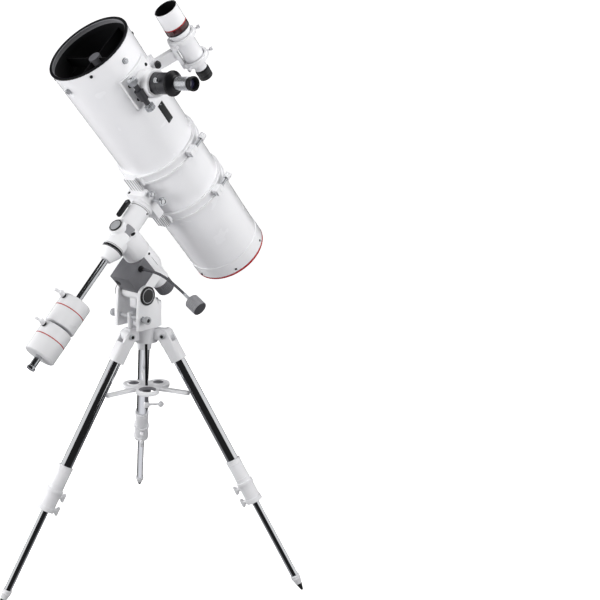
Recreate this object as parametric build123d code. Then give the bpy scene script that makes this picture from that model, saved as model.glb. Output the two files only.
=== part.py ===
from build123d import *
from math import atan2, cos, radians, sin, sqrt, tan
import os

# Lengths are in millimetres and angles in degrees. Z points up and the floor is at zero.

# Where the tripod's upright axis stands from the middle of the whole outline
stand_x = 20.3
stand_y = 45.8

# Fits between pieces
run = 0.06
gap = 0.4
wide_gap = 0.5

# Tripod hub and legs
leg_angles = {"north": 169.3, "front": 289.3, "rear": 49.3}
pivot_h = 712.7
pivot_r = 62.5
foot_circle = 495.9
lug_half = 12.0
lug_r = 17.0
hub_r = 34.0
hub_below = 26.7
hub_above = 26.3
plate_r = 38.0
plate_thick = 8.0
tongue_half = 14.0
hinge_bolt_r = 5.0
bolt_head_r = 8.5
bolt_head = 5.0
ear = 9.0
casting_len = 83.0
casting_y = 20.0
casting_round = 10.0
upper_r = 17.5
leg_wall = 2.0
upper_start = 45.0
clamp_start = 408.0
clamp_upper_len = 70.0
clamp_lower_len = 65.0
bush_len = 13.0
lower_r = 11.0
lower_inside = 200.0
foot_len = 44.5
foot_r = 14.0
foot_collar = 12.0
tip_r = 4.0
wing_screw_r = 3.5
wing_boss_end = 30.0

# Spreader tray and its clamping handle
rod_r = 4.0
tray_drop = 162.7
rod_below_tray = 74.0
tray_thick = 10.0
tray_rest_gap = 2.2
tray_r = 40.0
lobe_at = 42.0
lobe_r = 34.0
eyepiece_hole_r = 16.1
large_hole_r = 25.6
arm_half = 8.0
handle_turn = -40.0
handle_reach = 42.0
handle_ball_r = 9.0

# Equatorial head: tilt of the polar axis, and where the polar and declination axes cross
latitude = 47.0
cross_x = -84.7
cross_rise = 271.2

# Azimuth base and latitude fork
base_r = 40.0
base_thick = 12.0
spigot_r = 14.0
spigot_len = 20.0
fork_half = 38.0
fork_cheek = 12.0
fork_top_r = 28.0
tilt_x = -43.0
tilt_rise = 98.0
tilt_pin_r = 9.0
tilt_lug_r = 16.0
badge_r = 27.0
badge_thick = 5.0
tail_len = 36.0
tail_r = 8.0
post_x = -62.0
post_inset = 14.0
post_r = 8.0
azimuth_rise = 33.0
push_screw_r = 5.0
push_travel = 13.0
push_knob_r = 11.5
wall_x = 2.0
wall_thick = 12.0
tilt_screw_end = 46.0
screw_nose_r = 3.0
screw_nose = 8.0
screw_nose_gap = 0.9

# Right-ascension housing, worm drive and polar bore
sleeve_r = 40.0
sleeve_end = -75.5
barrel_r = 40.0
barrel_past = 4.0
barrel_taper_len = 28.0
barrel_tail_r = 30.0
barrel_tail_len = 35.0
ra_shaft_r = 20.0
ra_shaft_top = -35.0
polar_bore_r = 12.0
cover_depth = 62.0
cover_low = -95.0
wheel_r = 35.0
wheel_half = 6.0
worm_r = 8.0
worm_half = 22.0
worm_gap = 1.0
worm_inset = 14.0
worm_shaft_r = 4.0
worm_shaft_out = 50.0
polar_cap_r = 27.0
polar_cap_len = 45.0

# Slow-motion cable: its points lie in one upright plane, given as (y, z) past the worm's end
cable_r = 4.0
cable_points = ((0, 0), (-42, 0), (-85, -9.4), (-130, -29.4), (-178, -55.7))
knob_r = 21.0
knob_len = 42.0
knob_edge = 3.0

# Declination housing, counterweight bar and weights
dec_r = 31.0
dec_low = -52.0
dec_high = 92.0
dec_shaft_r = 16.0
dec_shaft_short = 2.0
sight_boss_r = 24.0
sight_boss_end = 38.0
sight_cap_r = 19.0
sight_cap_thick = 4.5
circle_r = 31.3
circle_thick = 10.0
cone_len = 29.0
cone_r = 16.0
bar_r = 9.5
bar_in_cone = 21.0
bar_past = 41.0
toe_r = 12.0
toe_len = 8.0
weight_r = 44.0
weight_edge = 5.0
weight_spans = {"upper": (-323.0, -236.0), "lower": (-416.0, -329.0)}
thumb_r = 5.0
thumb_below_top = 14.0
lever_y = -14.0
lever_below = 12.0
lever_len = 42.0

# Saddle, dovetail bar and tube rings
ring_foot_high = 9.3
saddle_half_x = 48.0
saddle_half_y = 34.0
saddle_rise = 10.0
saddle_neck_r = 33.0
dovetail_rise = 26.0
dovetail_thick = 13.0
dovetail_half = 22.0
dovetail_draft = 4.0
dovetail_ends = (-106.0, 94.0)
ring_at = {"front": 74.0, "back": -84.0}
ring_half = 15.0
ring_wall = 8.0
ring_lip = 5.0
ring_groove = 4.0
ring_hinge_out = 7.0
ring_hinge_r = 8.0
ring_pin_r = 3.5
ring_knuckle = 5.0
ring_split = 0.25
ring_lug = 14.0
ring_bolt_out = 9.0
ring_bolt_r = 3.0
ring_bolt_play = 1.2
ring_knob_r = 10.0

# Optical tube
tube_wall = 1.5
tube_front = 436.0
tube_back = -366.0
rim_proud = 1.2
rim_lip = 8.0
rim_thick = 4.0
cell_behind = 14.0
cell_grip = 36.0
cell_proud = 2.0
mirror_r = 101.5
mirror_room = 13.0
stud_inset = 21.5
mirror_thick = 30.0
mirror_ahead = 14.0
mirror_focal = 1000.0
vane_inset = 44.0
vane_half = 14.0
vane_thick = 1.6
spider_hub_r = 16.0
flat_r = 31.0
flat_thick = 9.0

# Focuser and eyepiece
focus_inset = 116.0
draw_r = 25.0
draw_wall = 2.0
draw_inside = 28.0
focus_body_r = 36.0
focus_body_high = 36.0
flange_x = 46.0
flange_z = 52.0
flange_thick = 7.0
pinion_below = 11.0
pinion_play = 1.5
pinion_r = 9.0
pinion_shaft_r = 3.0
pinion_case_r = 12.5
pinion_case_half = 15.0
pinion_arm_r = 7.0
pinion_arm_half = 32.0
rack_high = 4.5
rack_half = 4.0
knob_span = 45.0
focus_knob_r = 13.0
focus_knob_len = 15.0
holder_wall = 2.0
holder_flange_r = 32.0
holder_flange = 10.0
holder_nose = 12.0
holder_nose_wall = 2.1
holder_screw_turn = 35.0
holder_screw_at = 42.0
holder_gap = 6.0
holder_len = 82.0
eyepiece_barrel_r = 15.9
eyepiece_barrel_len = 30.0
eye_wall = 1.1
eyecup_wall = 1.4
eye_body_len = 46.0
eyecup_len = 11.0
eye_lens_r = 13.0
eye_lens_thick = 6.0
eye_relief = 12.0

# Finder
finder_rise = 104.0
finder_r = 27.0
finder_wall = 2.0
shield_r = 32.0
finder_inset = 135.0
finder_ring_ahead = 34.0
finder_ring_behind = 39.0
finder_cell_ahead = 13.0
finder_cell_len = 24.0
shield_len = 52.0
finder_taper_len = 22.0
finder_tail_r = 17.0
finder_tail_len = 14.0
finder_eye_r = 19.0
finder_eye_len = 31.0
finder_ring_half = 7.0
finder_ring_in = 30.0
finder_ring_out = 37.0
finder_stem = 15.0
finder_shoe = 25.0
finder_shoe_half = 19.0

# Worked out from the sizes above
hub_bottom = pivot_h - hub_below
hub_top = pivot_h + hub_above
leg_tilt = atan2(foot_circle - pivot_r, pivot_h)
tip_at = (pivot_h - tip_r) / cos(leg_tilt)
foot_start = tip_at - foot_len
clamp_rim = clamp_start + clamp_upper_len
clamp_end = clamp_rim + clamp_lower_len
casting_x = lug_half + wide_gap + ear
casting_start = lug_r + 9.0
upper_end = clamp_end - bush_len
lower_start = upper_end - lower_inside
tray_top = pivot_h - tray_drop
rod_bottom = tray_top - rod_below_tray
wing_places = (clamp_rim + 18.0, clamp_end - bush_len / 2)
base_top = hub_top + base_thick
cross_z = hub_top + cross_rise
tilt_z = hub_top + tilt_rise
azimuth_z = hub_top + azimuth_rise
fork_in = fork_half + wide_gap
fork_out = fork_in + fork_cheek
fork_front = post_x - post_inset
cover_front = sleeve_end - wide_gap
cover_back = cover_front - cover_depth
taper_start = cover_back - barrel_past
taper_end = taper_start - barrel_taper_len
barrel_end = taper_end - barrel_tail_len
worm_x = cover_front - worm_inset
worm_z = -(wheel_r + worm_r + worm_gap)
dec_shaft_low = dec_low + dec_shaft_short
circle_low = dec_low - circle_thick
cone_low = circle_low - cone_len
bar_start = cone_low + bar_in_cone
bar_end = min(low for low, high in weight_spans.values()) - bar_past
lever_z = dec_high - lever_below
saddle_low = dec_high + saddle_rise
dovetail_low = dec_high + dovetail_rise
dovetail_top = dovetail_low + dovetail_thick
tube_in = mirror_r + mirror_room
tube_r = tube_in + tube_wall
axis_gap = dovetail_top + ring_foot_high + tube_r
ring_foot = dovetail_top - axis_gap
ring_r = tube_r + ring_wall
ring_hinge_y = -ring_r - ring_hinge_out
ring_bolt_y = ring_r + ring_bolt_out
rim_r = tube_r + rim_proud
rim_in = tube_r - rim_lip
cell_r = tube_r + cell_proud
stud_at = mirror_r - stud_inset
cell_back = tube_back - cell_behind
cell_front = tube_back + cell_grip
mirror_back = tube_back + mirror_ahead
vane_x = tube_front - vane_inset
focus_x = tube_front - focus_inset
draw_low = tube_r - draw_inside
focus_body_end = tube_r + focus_body_high
rack_low = -draw_r - rack_high
pinion_y = focus_body_end - pinion_below
pinion_z = rack_low - pinion_play - pinion_r
holder_r = draw_r + holder_wall
holder_nose_r = eyepiece_barrel_r + holder_nose_wall
eye_r = eyepiece_barrel_r + eye_wall
eyecup_r = eye_r + eyecup_wall
holder_start = focus_body_end + holder_gap
holder_end = holder_start + holder_len
eyecup_start = holder_end + eye_body_len
eye_end = eyecup_start + eyecup_len
finder_axis = tube_r + finder_rise
finder_x = tube_front - finder_inset
finder_rings = (finder_x + finder_ring_ahead, finder_x - finder_ring_behind)
finder_cell_back = finder_rings[0] + finder_cell_ahead
shield_back = finder_cell_back + finder_cell_len
finder_front = shield_back + shield_len
finder_taper = finder_rings[1] - finder_taper_len
finder_tail = finder_taper - finder_tail_len
finder_eye_end = finder_tail - finder_eye_len
lean = radians(latitude)

os.makedirs("parts", exist_ok=True)
parts = {}


def rod(r, a, b, axis="z", at=(0, 0), r_end=None):
    """A round bar from a to b along one axis, or a cone when r_end is given."""
    body = Cylinder(r, b - a) if r_end is None else Cone(r, r_end, b - a)
    mid = (a + b) / 2
    if axis == "x":
        return Pos(mid, at[0], at[1]) * Rot(0, 90, 0) * body
    if axis == "y":
        return Pos(at[0], mid, at[1]) * Rot(-90, 0, 0) * body
    return Pos(at[0], at[1], mid) * body


def pipe(r_out, r_in, a, b, axis="z", at=(0, 0)):
    """A hollow round bar from a to b along one axis."""
    return rod(r_out, a, b, axis, at) - rod(r_in, a - 1, b + 1, axis, at)


def slab(x0, x1, y0, y1, z0, z1):
    """A block between two corners."""
    middle = Pos((x0 + x1) / 2, (y0 + y1) / 2, (z0 + z1) / 2)
    return middle * Box(x1 - x0, y1 - y0, z1 - z0)


def wall(points, y0, y1):
    """An upright plate with an outline of (x, z) points, from y0 to y1."""
    outline = Plane.XZ.offset(-y1) * Polygon(*points, align=None)
    return extrude(outline, y1 - y0, dir=(0, -1, 0))


HEAD = Plane(
    origin=(cross_x, 0, cross_z),
    x_dir=(-cos(lean), 0, sin(lean)),
    z_dir=(sin(lean), 0, cos(lean)),
).location
TUBE = HEAD * Pos(0, 0, axis_gap)
FINDER = TUBE * Rot(-45, 0, 0)

# Tripod hub with its three hinge lugs and the post that the azimuth screws press on
plate_low = hub_top - plate_thick
hub = rod(hub_r, hub_bottom, hub_top) + rod(plate_r, plate_low, hub_top)
bolts = rod(rod_r, rod_bottom, hub_top - spigot_len - 6)
for angle in leg_angles.values():
    lug = slab(hub_r / 2, pivot_r, -lug_half, lug_half, pivot_h - lug_r, pivot_h + lug_r)
    lug += rod(lug_r, -lug_half, lug_half, "y", (pivot_r, pivot_h))
    lug -= rod(hinge_bolt_r, -lug_half - 1, lug_half + 1, "y", (pivot_r, pivot_h))
    hub += Rot(0, 0, angle) * lug
    reach = casting_x + gap
    bolt = rod(hinge_bolt_r, -reach, reach, "y", (pivot_r, pivot_h))
    bolt += rod(bolt_head_r, reach, reach + bolt_head, "y", (pivot_r, pivot_h))
    bolt += rod(bolt_head_r, -reach - bolt_head, -reach, "y", (pivot_r, pivot_h))
    bolts += Rot(0, 0, angle) * bolt
hub += slab(post_x - post_r - 6, 0, -tongue_half, tongue_half, plate_low, hub_top)
hub += rod(post_r, plate_low + 2, azimuth_z + post_r + 4, "z", (post_x, 0))
hub -= rod(spigot_r + run, hub_top - spigot_len - 4, hub_top + 1)
hub -= rod(rod_r, hub_bottom - 1, hub_top)
parts["tripod_hub"] = hub
parts["tripod_rod_and_bolts"] = bolts

# Three telescopic legs, each modelled along its own axis from the hinge to the spike
for name, angle in leg_angles.items():
    turn = radians(angle)
    hinge = (pivot_r * cos(turn), pivot_r * sin(turn), pivot_h)
    across = (-sin(turn), cos(turn), 0)
    down = (sin(leg_tilt) * cos(turn), sin(leg_tilt) * sin(turn), -cos(leg_tilt))
    LEG = Plane(origin=hinge, x_dir=across, z_dir=down).location

    outline = RectangleRounded(2 * casting_x, 2 * casting_y, casting_round)
    casting = Pos(0, 0, casting_start) * extrude(outline, casting_len - casting_start)
    casting += rod(lug_r, -casting_x, casting_x, "x")
    casting += slab(-casting_x, casting_x, -lug_r, lug_r, 0, casting_start + 1)
    slot_half = lug_half + wide_gap
    casting -= slab(-slot_half, slot_half, -3 * lug_r, 3 * lug_r, -3 * lug_r, casting_start)
    casting -= rod(hinge_bolt_r + run, -casting_x - 1, casting_x + 1, "x")
    casting -= rod(upper_r, upper_start, casting_len + 1)
    parts[f"leg_{name}_casting"] = LEG * casting

    upper = pipe(upper_r, upper_r - leg_wall, upper_start, upper_end)
    clamp = rod(upper_r + 4, clamp_start, clamp_rim)
    clamp += rod(upper_r + 7.5, clamp_rim, clamp_rim + 10)
    clamp += rod(upper_r + 5, clamp_rim + 10, upper_end)
    clamp += rod(upper_r + 7, upper_end, clamp_end)
    screws = []
    for at in wing_places:
        clamp += rod(6.4, -wing_boss_end, -upper_r, "y", (0, at))
        hole = rod(wing_screw_r, -wing_boss_end - 1, 0, "y", (0, at))
        clamp -= hole
        upper -= hole
        screw = rod(wing_screw_r, -wing_boss_end - 6, -lower_r - gap, "y", (0, at))
        screw += rod(5.5, -wing_boss_end - 6, -wing_boss_end, "y", (0, at))
        screw += slab(-12, 12, -wing_boss_end - 16, -wing_boss_end - 5, at - 3, at + 3)
        screws.append(screw)
    clamp -= rod(upper_r, clamp_start - 1, upper_end)
    clamp -= rod(lower_r + run, upper_end - 1, clamp_end + 1)
    parts[f"leg_{name}_tube"] = LEG * upper
    parts[f"leg_{name}_clamp"] = LEG * Compound([clamp.solid(), *[s.solid() for s in screws]])

    plug = foot_collar / 2
    lower = pipe(lower_r, lower_r - leg_wall, lower_start, foot_start + plug)
    foot = rod(foot_r, foot_start, foot_start + foot_collar)
    foot += rod(foot_r - 1, foot_start + foot_collar, tip_at, r_end=tip_r)
    foot += Pos(0, 0, tip_at) * Sphere(tip_r)
    foot -= rod(lower_r, foot_start - 1, foot_start + plug)
    parts[f"leg_{name}_lower_tube"] = LEG * lower
    parts[f"leg_{name}_foot"] = LEG * foot

# Spreader tray: three arms towards the legs, and three lobes with holes for eyepieces
arm_reach = pivot_r + (pivot_h - tray_top) * tan(leg_tilt)
arm_reach -= upper_r / cos(leg_tilt) + tray_rest_gap
tray_low = tray_top - tray_thick
tray = rod(tray_r, tray_low, tray_top)
holes = []
for name, angle in leg_angles.items():
    arm = slab(tray_r / 2, arm_reach - arm_half, -arm_half, arm_half, tray_low, tray_top)
    arm += rod(arm_half, tray_low, tray_top, "z", (arm_reach - arm_half, 0))
    tray += Rot(0, 0, angle) * arm
    tray += Rot(0, 0, angle + 60) * rod(lobe_r, tray_low, tray_top, "z", (lobe_at, 0))
    hole_r = large_hole_r if name == "north" else eyepiece_hole_r
    hole = rod(hole_r, tray_low - 1, tray_top + 1, "z", (lobe_at, 0))
    holes.append(Rot(0, 0, angle + 60) * hole)
for hole in holes:
    tray -= hole
tray -= rod(rod_r + gap, tray_low - 1, tray_top + 1)
parts["spreader_tray"] = tray

lever_level = rod_bottom + 13
handle = rod(13.0, tray_low - 11, tray_low)
handle += rod(7.5, rod_bottom + 22, tray_low - 10)
handle += rod(9.5, rod_bottom + 2, rod_bottom + 24)
handle += rod(3.5, 0, handle_reach, "x", (0, lever_level))
handle += Pos(handle_reach, 0, lever_level) * Sphere(handle_ball_r)
handle -= rod(rod_r + gap, rod_bottom - 1, tray_top)
parts["spreader_handle"] = Rot(0, 0, handle_turn) * handle

# Azimuth base: turning plate with spigot, two fork cheeks and a rear wall between them
base = rod(base_r, hub_top, base_top) + rod(spigot_r, hub_top - spigot_len, base_top)
base += slab(fork_front + 46, wall_x + wall_thick, -fork_out, fork_out, hub_top, base_top)
base += slab(wall_x, wall_x + wall_thick, -fork_out, fork_out, hub_top, tilt_z - tail_len + 11)
cheek_outline = (
    (fork_front, hub_top),
    (wall_x + wall_thick, hub_top),
    (wall_x + wall_thick, hub_top + 40),
    (tilt_x + fork_top_r, tilt_z),
    (tilt_x - fork_top_r, tilt_z),
    (fork_front, azimuth_z + 14),
)
for y0, y1 in ((-fork_out, -fork_in), (fork_in, fork_out)):
    base += wall(cheek_outline, y0, y1)
    base += rod(fork_top_r, y0, y1, "y", (tilt_x, tilt_z))
base -= rod(tilt_pin_r, -fork_out - 1, fork_out + 1, "y", (tilt_x, tilt_z))
base -= rod(push_screw_r + run, -fork_out - 1, fork_out + 1, "y", (post_x, azimuth_z))
tilt_screw_z = tilt_z - tail_len
base -= rod(push_screw_r + run, 0, wall_x + wall_thick + 1, "x", (0, tilt_screw_z))
parts["azimuth_base"] = base

pin = rod(tilt_pin_r, -fork_out, fork_out, "y", (tilt_x, tilt_z))
pin += rod(badge_r, -fork_out - badge_thick, -fork_out, "y", (tilt_x, tilt_z))
pin += rod(badge_r, fork_out, fork_out + badge_thick, "y", (tilt_x, tilt_z))
parts["latitude_pin"] = pin

push_start = fork_out + push_travel
push_screw = rod(push_screw_r, post_r + gap, push_start + 2, "y", (post_x, azimuth_z))
push_screw += rod(push_knob_r, push_start, push_start + 12, "y", (post_x, azimuth_z))
other_screw = Rot(0, 0, 180) * Pos(-2 * post_x, 0, 0) * push_screw
parts["azimuth_screws"] = Compound([push_screw.solid(), other_screw.solid()])

nose_start = tilt_x + tail_r + screw_nose_gap
tilt_screw = rod(screw_nose_r, nose_start, tilt_screw_end, "x", (0, tilt_screw_z))
tilt_screw += rod(push_screw_r, nose_start + screw_nose, tilt_screw_end, "x", (0, tilt_screw_z))
tilt_screw += rod(8.0, tilt_screw_end - 12, tilt_screw_end, "x", (0, tilt_screw_z))
tilt_screw += rod(3.5, -20, 20, "y", (tilt_screw_end - 6, tilt_screw_z))
parts["latitude_screw"] = tilt_screw

# Right-ascension housing: barrel on the polar axis, tilt lug and the tail under it
tilt_dx = tilt_x - cross_x
tilt_dz = tilt_z - cross_z
lug_at = (-tilt_dx * cos(lean) + tilt_dz * sin(lean), tilt_dx * sin(lean) + tilt_dz * cos(lean))
housing = rod(barrel_r, taper_start, cover_front, "x")
housing += rod(barrel_tail_r, taper_end, taper_start, "x", r_end=barrel_r)
housing += rod(barrel_tail_r, barrel_end, taper_end, "x")
housing += rod(tilt_lug_r, -fork_half, fork_half, "y", lug_at)
housing += slab(
    lug_at[0] - tilt_lug_r, lug_at[0] + tilt_lug_r, -fork_half, fork_half, lug_at[1], 0
)
tail = slab(tilt_x - tail_r, tilt_x + tail_r, -12, 12, tilt_screw_z, tilt_z)
tail += rod(tail_r, -12, 12, "y", (tilt_x, tilt_screw_z))
housing += HEAD.inverse() * tail
housing -= rod(ra_shaft_r + run, barrel_end - 1, cover_front + 1, "x")
housing -= rod(tilt_pin_r + run, -fork_half - 1, fork_half + 1, "y", lug_at)
wheel_room = wheel_half + 1.5
chamber = rod(wheel_r + 1.5, worm_x - wheel_room, worm_x + wheel_room, "x")
chamber += rod(worm_r + 1.2, -worm_half - 2, worm_half + 2, "y", (worm_x, worm_z))
shaft_way = rod(worm_shaft_r + run, -fork_half - 1, fork_half + 1, "y", (worm_x, worm_z))
housing -= chamber
housing -= shaft_way
parts["ra_housing"] = HEAD * housing

cover = slab(cover_back, cover_front, -fork_half, fork_half, cover_low, 0)
cover -= rod(barrel_r, barrel_end, 0, "x")
cover -= chamber
cover -= shaft_way
parts["worm_cover"] = HEAD * cover
cap_end = barrel_end - polar_cap_len
parts["polar_cap"] = HEAD * rod(polar_cap_r, cap_end, barrel_end, "x")

worm = rod(worm_r, -worm_half, worm_half, "y", (worm_x, worm_z))
worm += rod(worm_shaft_r, 4 - fork_half, worm_shaft_out, "y", (worm_x, worm_z))
parts["ra_worm"] = HEAD * worm

# Slow-motion cable in straight runs and tangent arcs, and the knob on its end
worm_end = HEAD * Pos(worm_x, worm_shaft_out, worm_z)
cable_start = worm_end.position
route = [Vector(cable_start.X, cable_start.Y + y, cable_start.Z + z) for y, z in cable_points]
radii = []
for before, here, after in zip(route, route[1:], route[2:]):
    shorter = min((here - before).length, (after - here).length)
    half_turn = radians((here - before).get_angle(after - here) / 2)
    radii.append(0.45 * shorter / tan(half_turn))
print("cable radii", [round(r) for r in radii])
cable_path = FilletPolyline(*route, radius=radii)
cable_section = Plane(origin=route[0], z_dir=route[1] - route[0]) * Circle(cable_r)
parts["slow_motion_cable"] = sweep(cable_section, cable_path)
cable_area = Circle(cable_r).area
print("cable volume", parts["slow_motion_cable"].volume, "expected", cable_path.length * cable_area)
knob = rod(knob_r, 0, knob_len)
KNOB = Plane(origin=route[-1], z_dir=route[-1] - route[-2]).location
parts["slow_motion_knob"] = KNOB * fillet(knob.edges().filter_by(GeomType.CIRCLE), knob_edge)

# Declination housing with the turning sleeve of the polar axis
dec = rod(dec_r, dec_low, dec_high) + rod(sleeve_r, sleeve_end, 0, "x")
dec += rod(sight_boss_r, 0, sight_boss_end, "x")
dec += rod(7.0, dec_r / 2, dec_r + 5, "x", (lever_y, lever_z))
dec -= rod(dec_shaft_r + run, dec_low - 1, dec_high + 1)
dec -= rod(ra_shaft_r, sleeve_end - 1, ra_shaft_top, "x")
dec -= rod(3.0 + run, dec_shaft_r, dec_r + 6, "x", (lever_y, lever_z))
dec -= Pos(8, dec_r, 8) * Rot(0, 45, 0) * Box(17, 7, 17)
parts["dec_housing"] = HEAD * dec
sight_end = sight_boss_end + sight_cap_thick
parts["polar_sight_cap"] = HEAD * rod(sight_cap_r, sight_boss_end, sight_end, "x")
shaft = rod(ra_shaft_r, barrel_end + 2, ra_shaft_top, "x")
shaft += rod(wheel_r, worm_x - wheel_half, worm_x + wheel_half, "x")
shaft -= rod(polar_bore_r, barrel_end, ra_shaft_top + 1, "x")
parts["ra_shaft_and_wheel"] = HEAD * shaft

lever = rod(8.0, dec_r + 5 + gap, dec_r + 14, "x", (lever_y, lever_z))
lever_low = lever_z - lever_len
lever += slab(dec_r + 6, dec_r + 13, lever_y - 6, lever_y + 6, lever_low, lever_z)
lever += rod(6.0, dec_r + 6, dec_r + 13, "x", (lever_y, lever_low))
lever += rod(3.0, dec_shaft_r + 4, dec_r + 6, "x", (lever_y, lever_z))
parts["dec_clutch_lever"] = HEAD * lever

# Counterweight bar with its setting circle, cone nut and toe stop, and two sliding weights
parts["dec_setting_circle"] = HEAD * rod(circle_r, circle_low, dec_low)
cone = rod(cone_r, cone_low, circle_low, r_end=circle_r)
parts["cone_nut"] = HEAD * (cone - rod(bar_r, cone_low - 1, bar_start))
bar = rod(bar_r, bar_end, bar_start) + rod(toe_r, bar_end, bar_end + toe_len)
parts["counterweight_bar"] = HEAD * bar
for name, (low, high) in weight_spans.items():
    screw_z = high - thumb_below_top
    edge_r = weight_r - weight_edge
    weight = rod(weight_r, low + weight_edge, high - weight_edge)
    weight += rod(edge_r, low, low + weight_edge, r_end=weight_r)
    weight += rod(weight_r, high - weight_edge, high, r_end=edge_r)
    weight -= rod(bar_r + run, low - 1, high + 1)
    weight -= rod(thumb_r, 0, weight_r + 1, "x", (0, screw_z))
    parts[f"counterweight_{name}"] = HEAD * weight
    thumb = rod(thumb_r, bar_r + gap, weight_r + 14, "x", (0, screw_z))
    thumb += rod(thumb_r + 2.5, weight_r + 4, weight_r + 14, "x", (0, screw_z))
    thumb += slab(weight_r + 13, weight_r + 30, -14, 14, screw_z - 3.5, screw_z + 3.5)
    parts[f"counterweight_{name}_screw"] = HEAD * thumb

# Saddle on the declination shaft, dovetail bar and the screws that hold it
dovetail_outline = (
    (-dovetail_half, dovetail_low),
    (dovetail_half, dovetail_low),
    (dovetail_half - dovetail_draft, dovetail_top),
    (dovetail_draft - dovetail_half, dovetail_top),
)
dovetail_face = Plane.YZ.offset(dovetail_ends[0]) * Polygon(*dovetail_outline, align=None)
dovetail = extrude(dovetail_face, dovetail_ends[1] - dovetail_ends[0], dir=(1, 0, 0))
parts["dovetail_bar"] = HEAD * dovetail
saddle = rod(saddle_neck_r, dec_high + wide_gap, dovetail_low - 4)
saddle += slab(
    -saddle_half_x, saddle_half_x, -saddle_half_y, saddle_half_y, saddle_low, dovetail_top - 3
)
saddle -= dovetail
saddle += rod(dec_shaft_r, dec_shaft_low, dovetail_low - 5)
saddle_screw_z = dovetail_low + 5
saddle_screws = []
for at, r, out, head_r, head in ((8.0, 4.0, 62.0, 12.0, 15.0), (36.0, 3.5, 45.0, 9.0, 10.0)):
    saddle -= rod(r, dovetail_half, saddle_half_y + 1, "y", (at, saddle_screw_z))
    screw = rod(r, dovetail_half, out + 1, "y", (at, saddle_screw_z))
    screw += rod(head_r, out, out + head, "y", (at, saddle_screw_z))
    saddle_screws.append(screw.solid())
parts["saddle"] = HEAD * saddle
parts["saddle_screws"] = HEAD * Compound(saddle_screws)

# Tube rings: lower halves bolted to the dovetail, upper halves hinged on the far side
lower_halves = []
for name, at in ring_at.items():
    back = at - ring_half
    front = at + ring_half
    room = 2 * ring_r
    below = slab(back - 1, front + 1, -room, room, -room, -ring_split)
    above = slab(back - 1, front + 1, -room, room, ring_split, room)
    lug_end = ring_bolt_y + 9
    groove = pipe(ring_r + 1, ring_r - ring_groove, back + ring_lip, front - ring_lip, "x")
    lower = (rod(ring_r, back, front, "x") - groove) & below
    lower += slab(back, front, -30, 30, ring_foot, -tube_r + 20)
    lower += slab(at - 10, at + 10, tube_r - 4, lug_end, -ring_lug, -ring_split)
    lower -= rod(tube_r, back - 1, front + 1, "x")
    lower -= rod(ring_bolt_r + ring_bolt_play, -40, 1, "z", (at, ring_bolt_y))
    for x0, x1 in ((back - 1, at - ring_knuckle), (at + ring_knuckle, front + 1)):
        lower -= rod(ring_hinge_r + wide_gap, x0, x1, "x", (ring_hinge_y, 0))
    web = (ring_hinge_y, -tube_r - 2)
    lower += slab(at - ring_knuckle, at + ring_knuckle, *web, -ring_hinge_r, -ring_split)
    lower += rod(ring_hinge_r, at - ring_knuckle, at + ring_knuckle, "x", (ring_hinge_y, 0))
    lower += rod(ring_pin_r, back + 1, front - 1, "x", (ring_hinge_y, 0))
    lower_halves.append(lower.solid())

    inner_r = tube_r + gap
    half = (rod(ring_r, back, front, "x") - groove) & above
    half += slab(at - 10, at + 10, tube_r - 4, lug_end, ring_split, ring_lug)
    half += slab(back, front, *web, ring_split, ring_hinge_r)
    half += rod(ring_hinge_r, back, front, "x", (ring_hinge_y, 0))
    half -= rod(inner_r, back - 1, front + 1, "x")
    space = ring_knuckle + wide_gap
    half -= rod(ring_hinge_r + wide_gap, at - space, at + space, "x", (ring_hinge_y, 0))
    half -= rod(ring_pin_r + run, back - 1, front + 1, "x", (ring_hinge_y, 0))
    half -= rod(ring_bolt_r, -1, 40, "z", (at, ring_bolt_y))
    bolt = rod(ring_bolt_r, -ring_lug - 6, 62, "z", (at, ring_bolt_y))
    bolt += rod(ring_bolt_r + 2.5, ring_lug, 46, "z", (at, ring_bolt_y))
    bolt += rod(ring_knob_r, 44, 62, "z", (at, ring_bolt_y))
    parts[f"ring_{name}_upper_half"] = TUBE * Compound([half.solid(), bolt.solid()])
parts["ring_lower_halves"] = TUBE * Compound(lower_halves)

# Optical tube, front rim, mirror cell and primary mirror
focus_hole = rod(draw_r + 5, 0, tube_r + 30, "y", (focus_x, 0))
parts["optical_tube"] = TUBE * (pipe(tube_r, tube_in, tube_back, tube_front, "x") - focus_hole)
rim = pipe(rim_r, rim_in, tube_front, tube_front + rim_thick, "x")
rim += pipe(tube_in, tube_in - 3, tube_front - 26, tube_front + 1, "x")
parts["front_rim"] = TUBE * rim

cell = pipe(cell_r, tube_r, cell_back, cell_front, "x")
cell += rod(tube_r, cell_back + 3, tube_back, "x")
cell -= rod(52.0, cell_back, tube_back + 1, "x")
pads = rod(40.0, mirror_back - 7, mirror_back, "x")
for step in range(3):
    spoke = slab(mirror_back - 7, mirror_back, -9, 9, 0, mirror_r - 12)
    pads += Rot(120 * step, 0, 0) * spoke
    for shift, screw_r in ((-9, 4.0), (9, 4.0)):
        turn_on = Rot(120 * step + shift, 0, 0)
        stud = rod(screw_r, cell_back - 1, mirror_back - 7, "x", (0, stud_at))
        stud += rod(screw_r + 4, cell_back - 6, cell_back + 3, "x", (0, stud_at))
        cell -= turn_on * rod(screw_r, cell_back, tube_back + 1, "x", (0, stud_at))
        pads += turn_on * stud
        pads += turn_on * rod(screw_r + 4, mirror_back - 7, mirror_back, "x", (0, stud_at))
parts["mirror_cell"] = TUBE * (cell + pads)
mirror_front = mirror_back + mirror_thick
curve_r = 2 * mirror_focal
hollow_x = mirror_front + sqrt(curve_r**2 - mirror_r**2)
mirror = rod(mirror_r, mirror_back, mirror_front, "x") - Pos(hollow_x, 0, 0) * Sphere(curve_r)
parts["primary_mirror"] = TUBE * mirror

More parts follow.
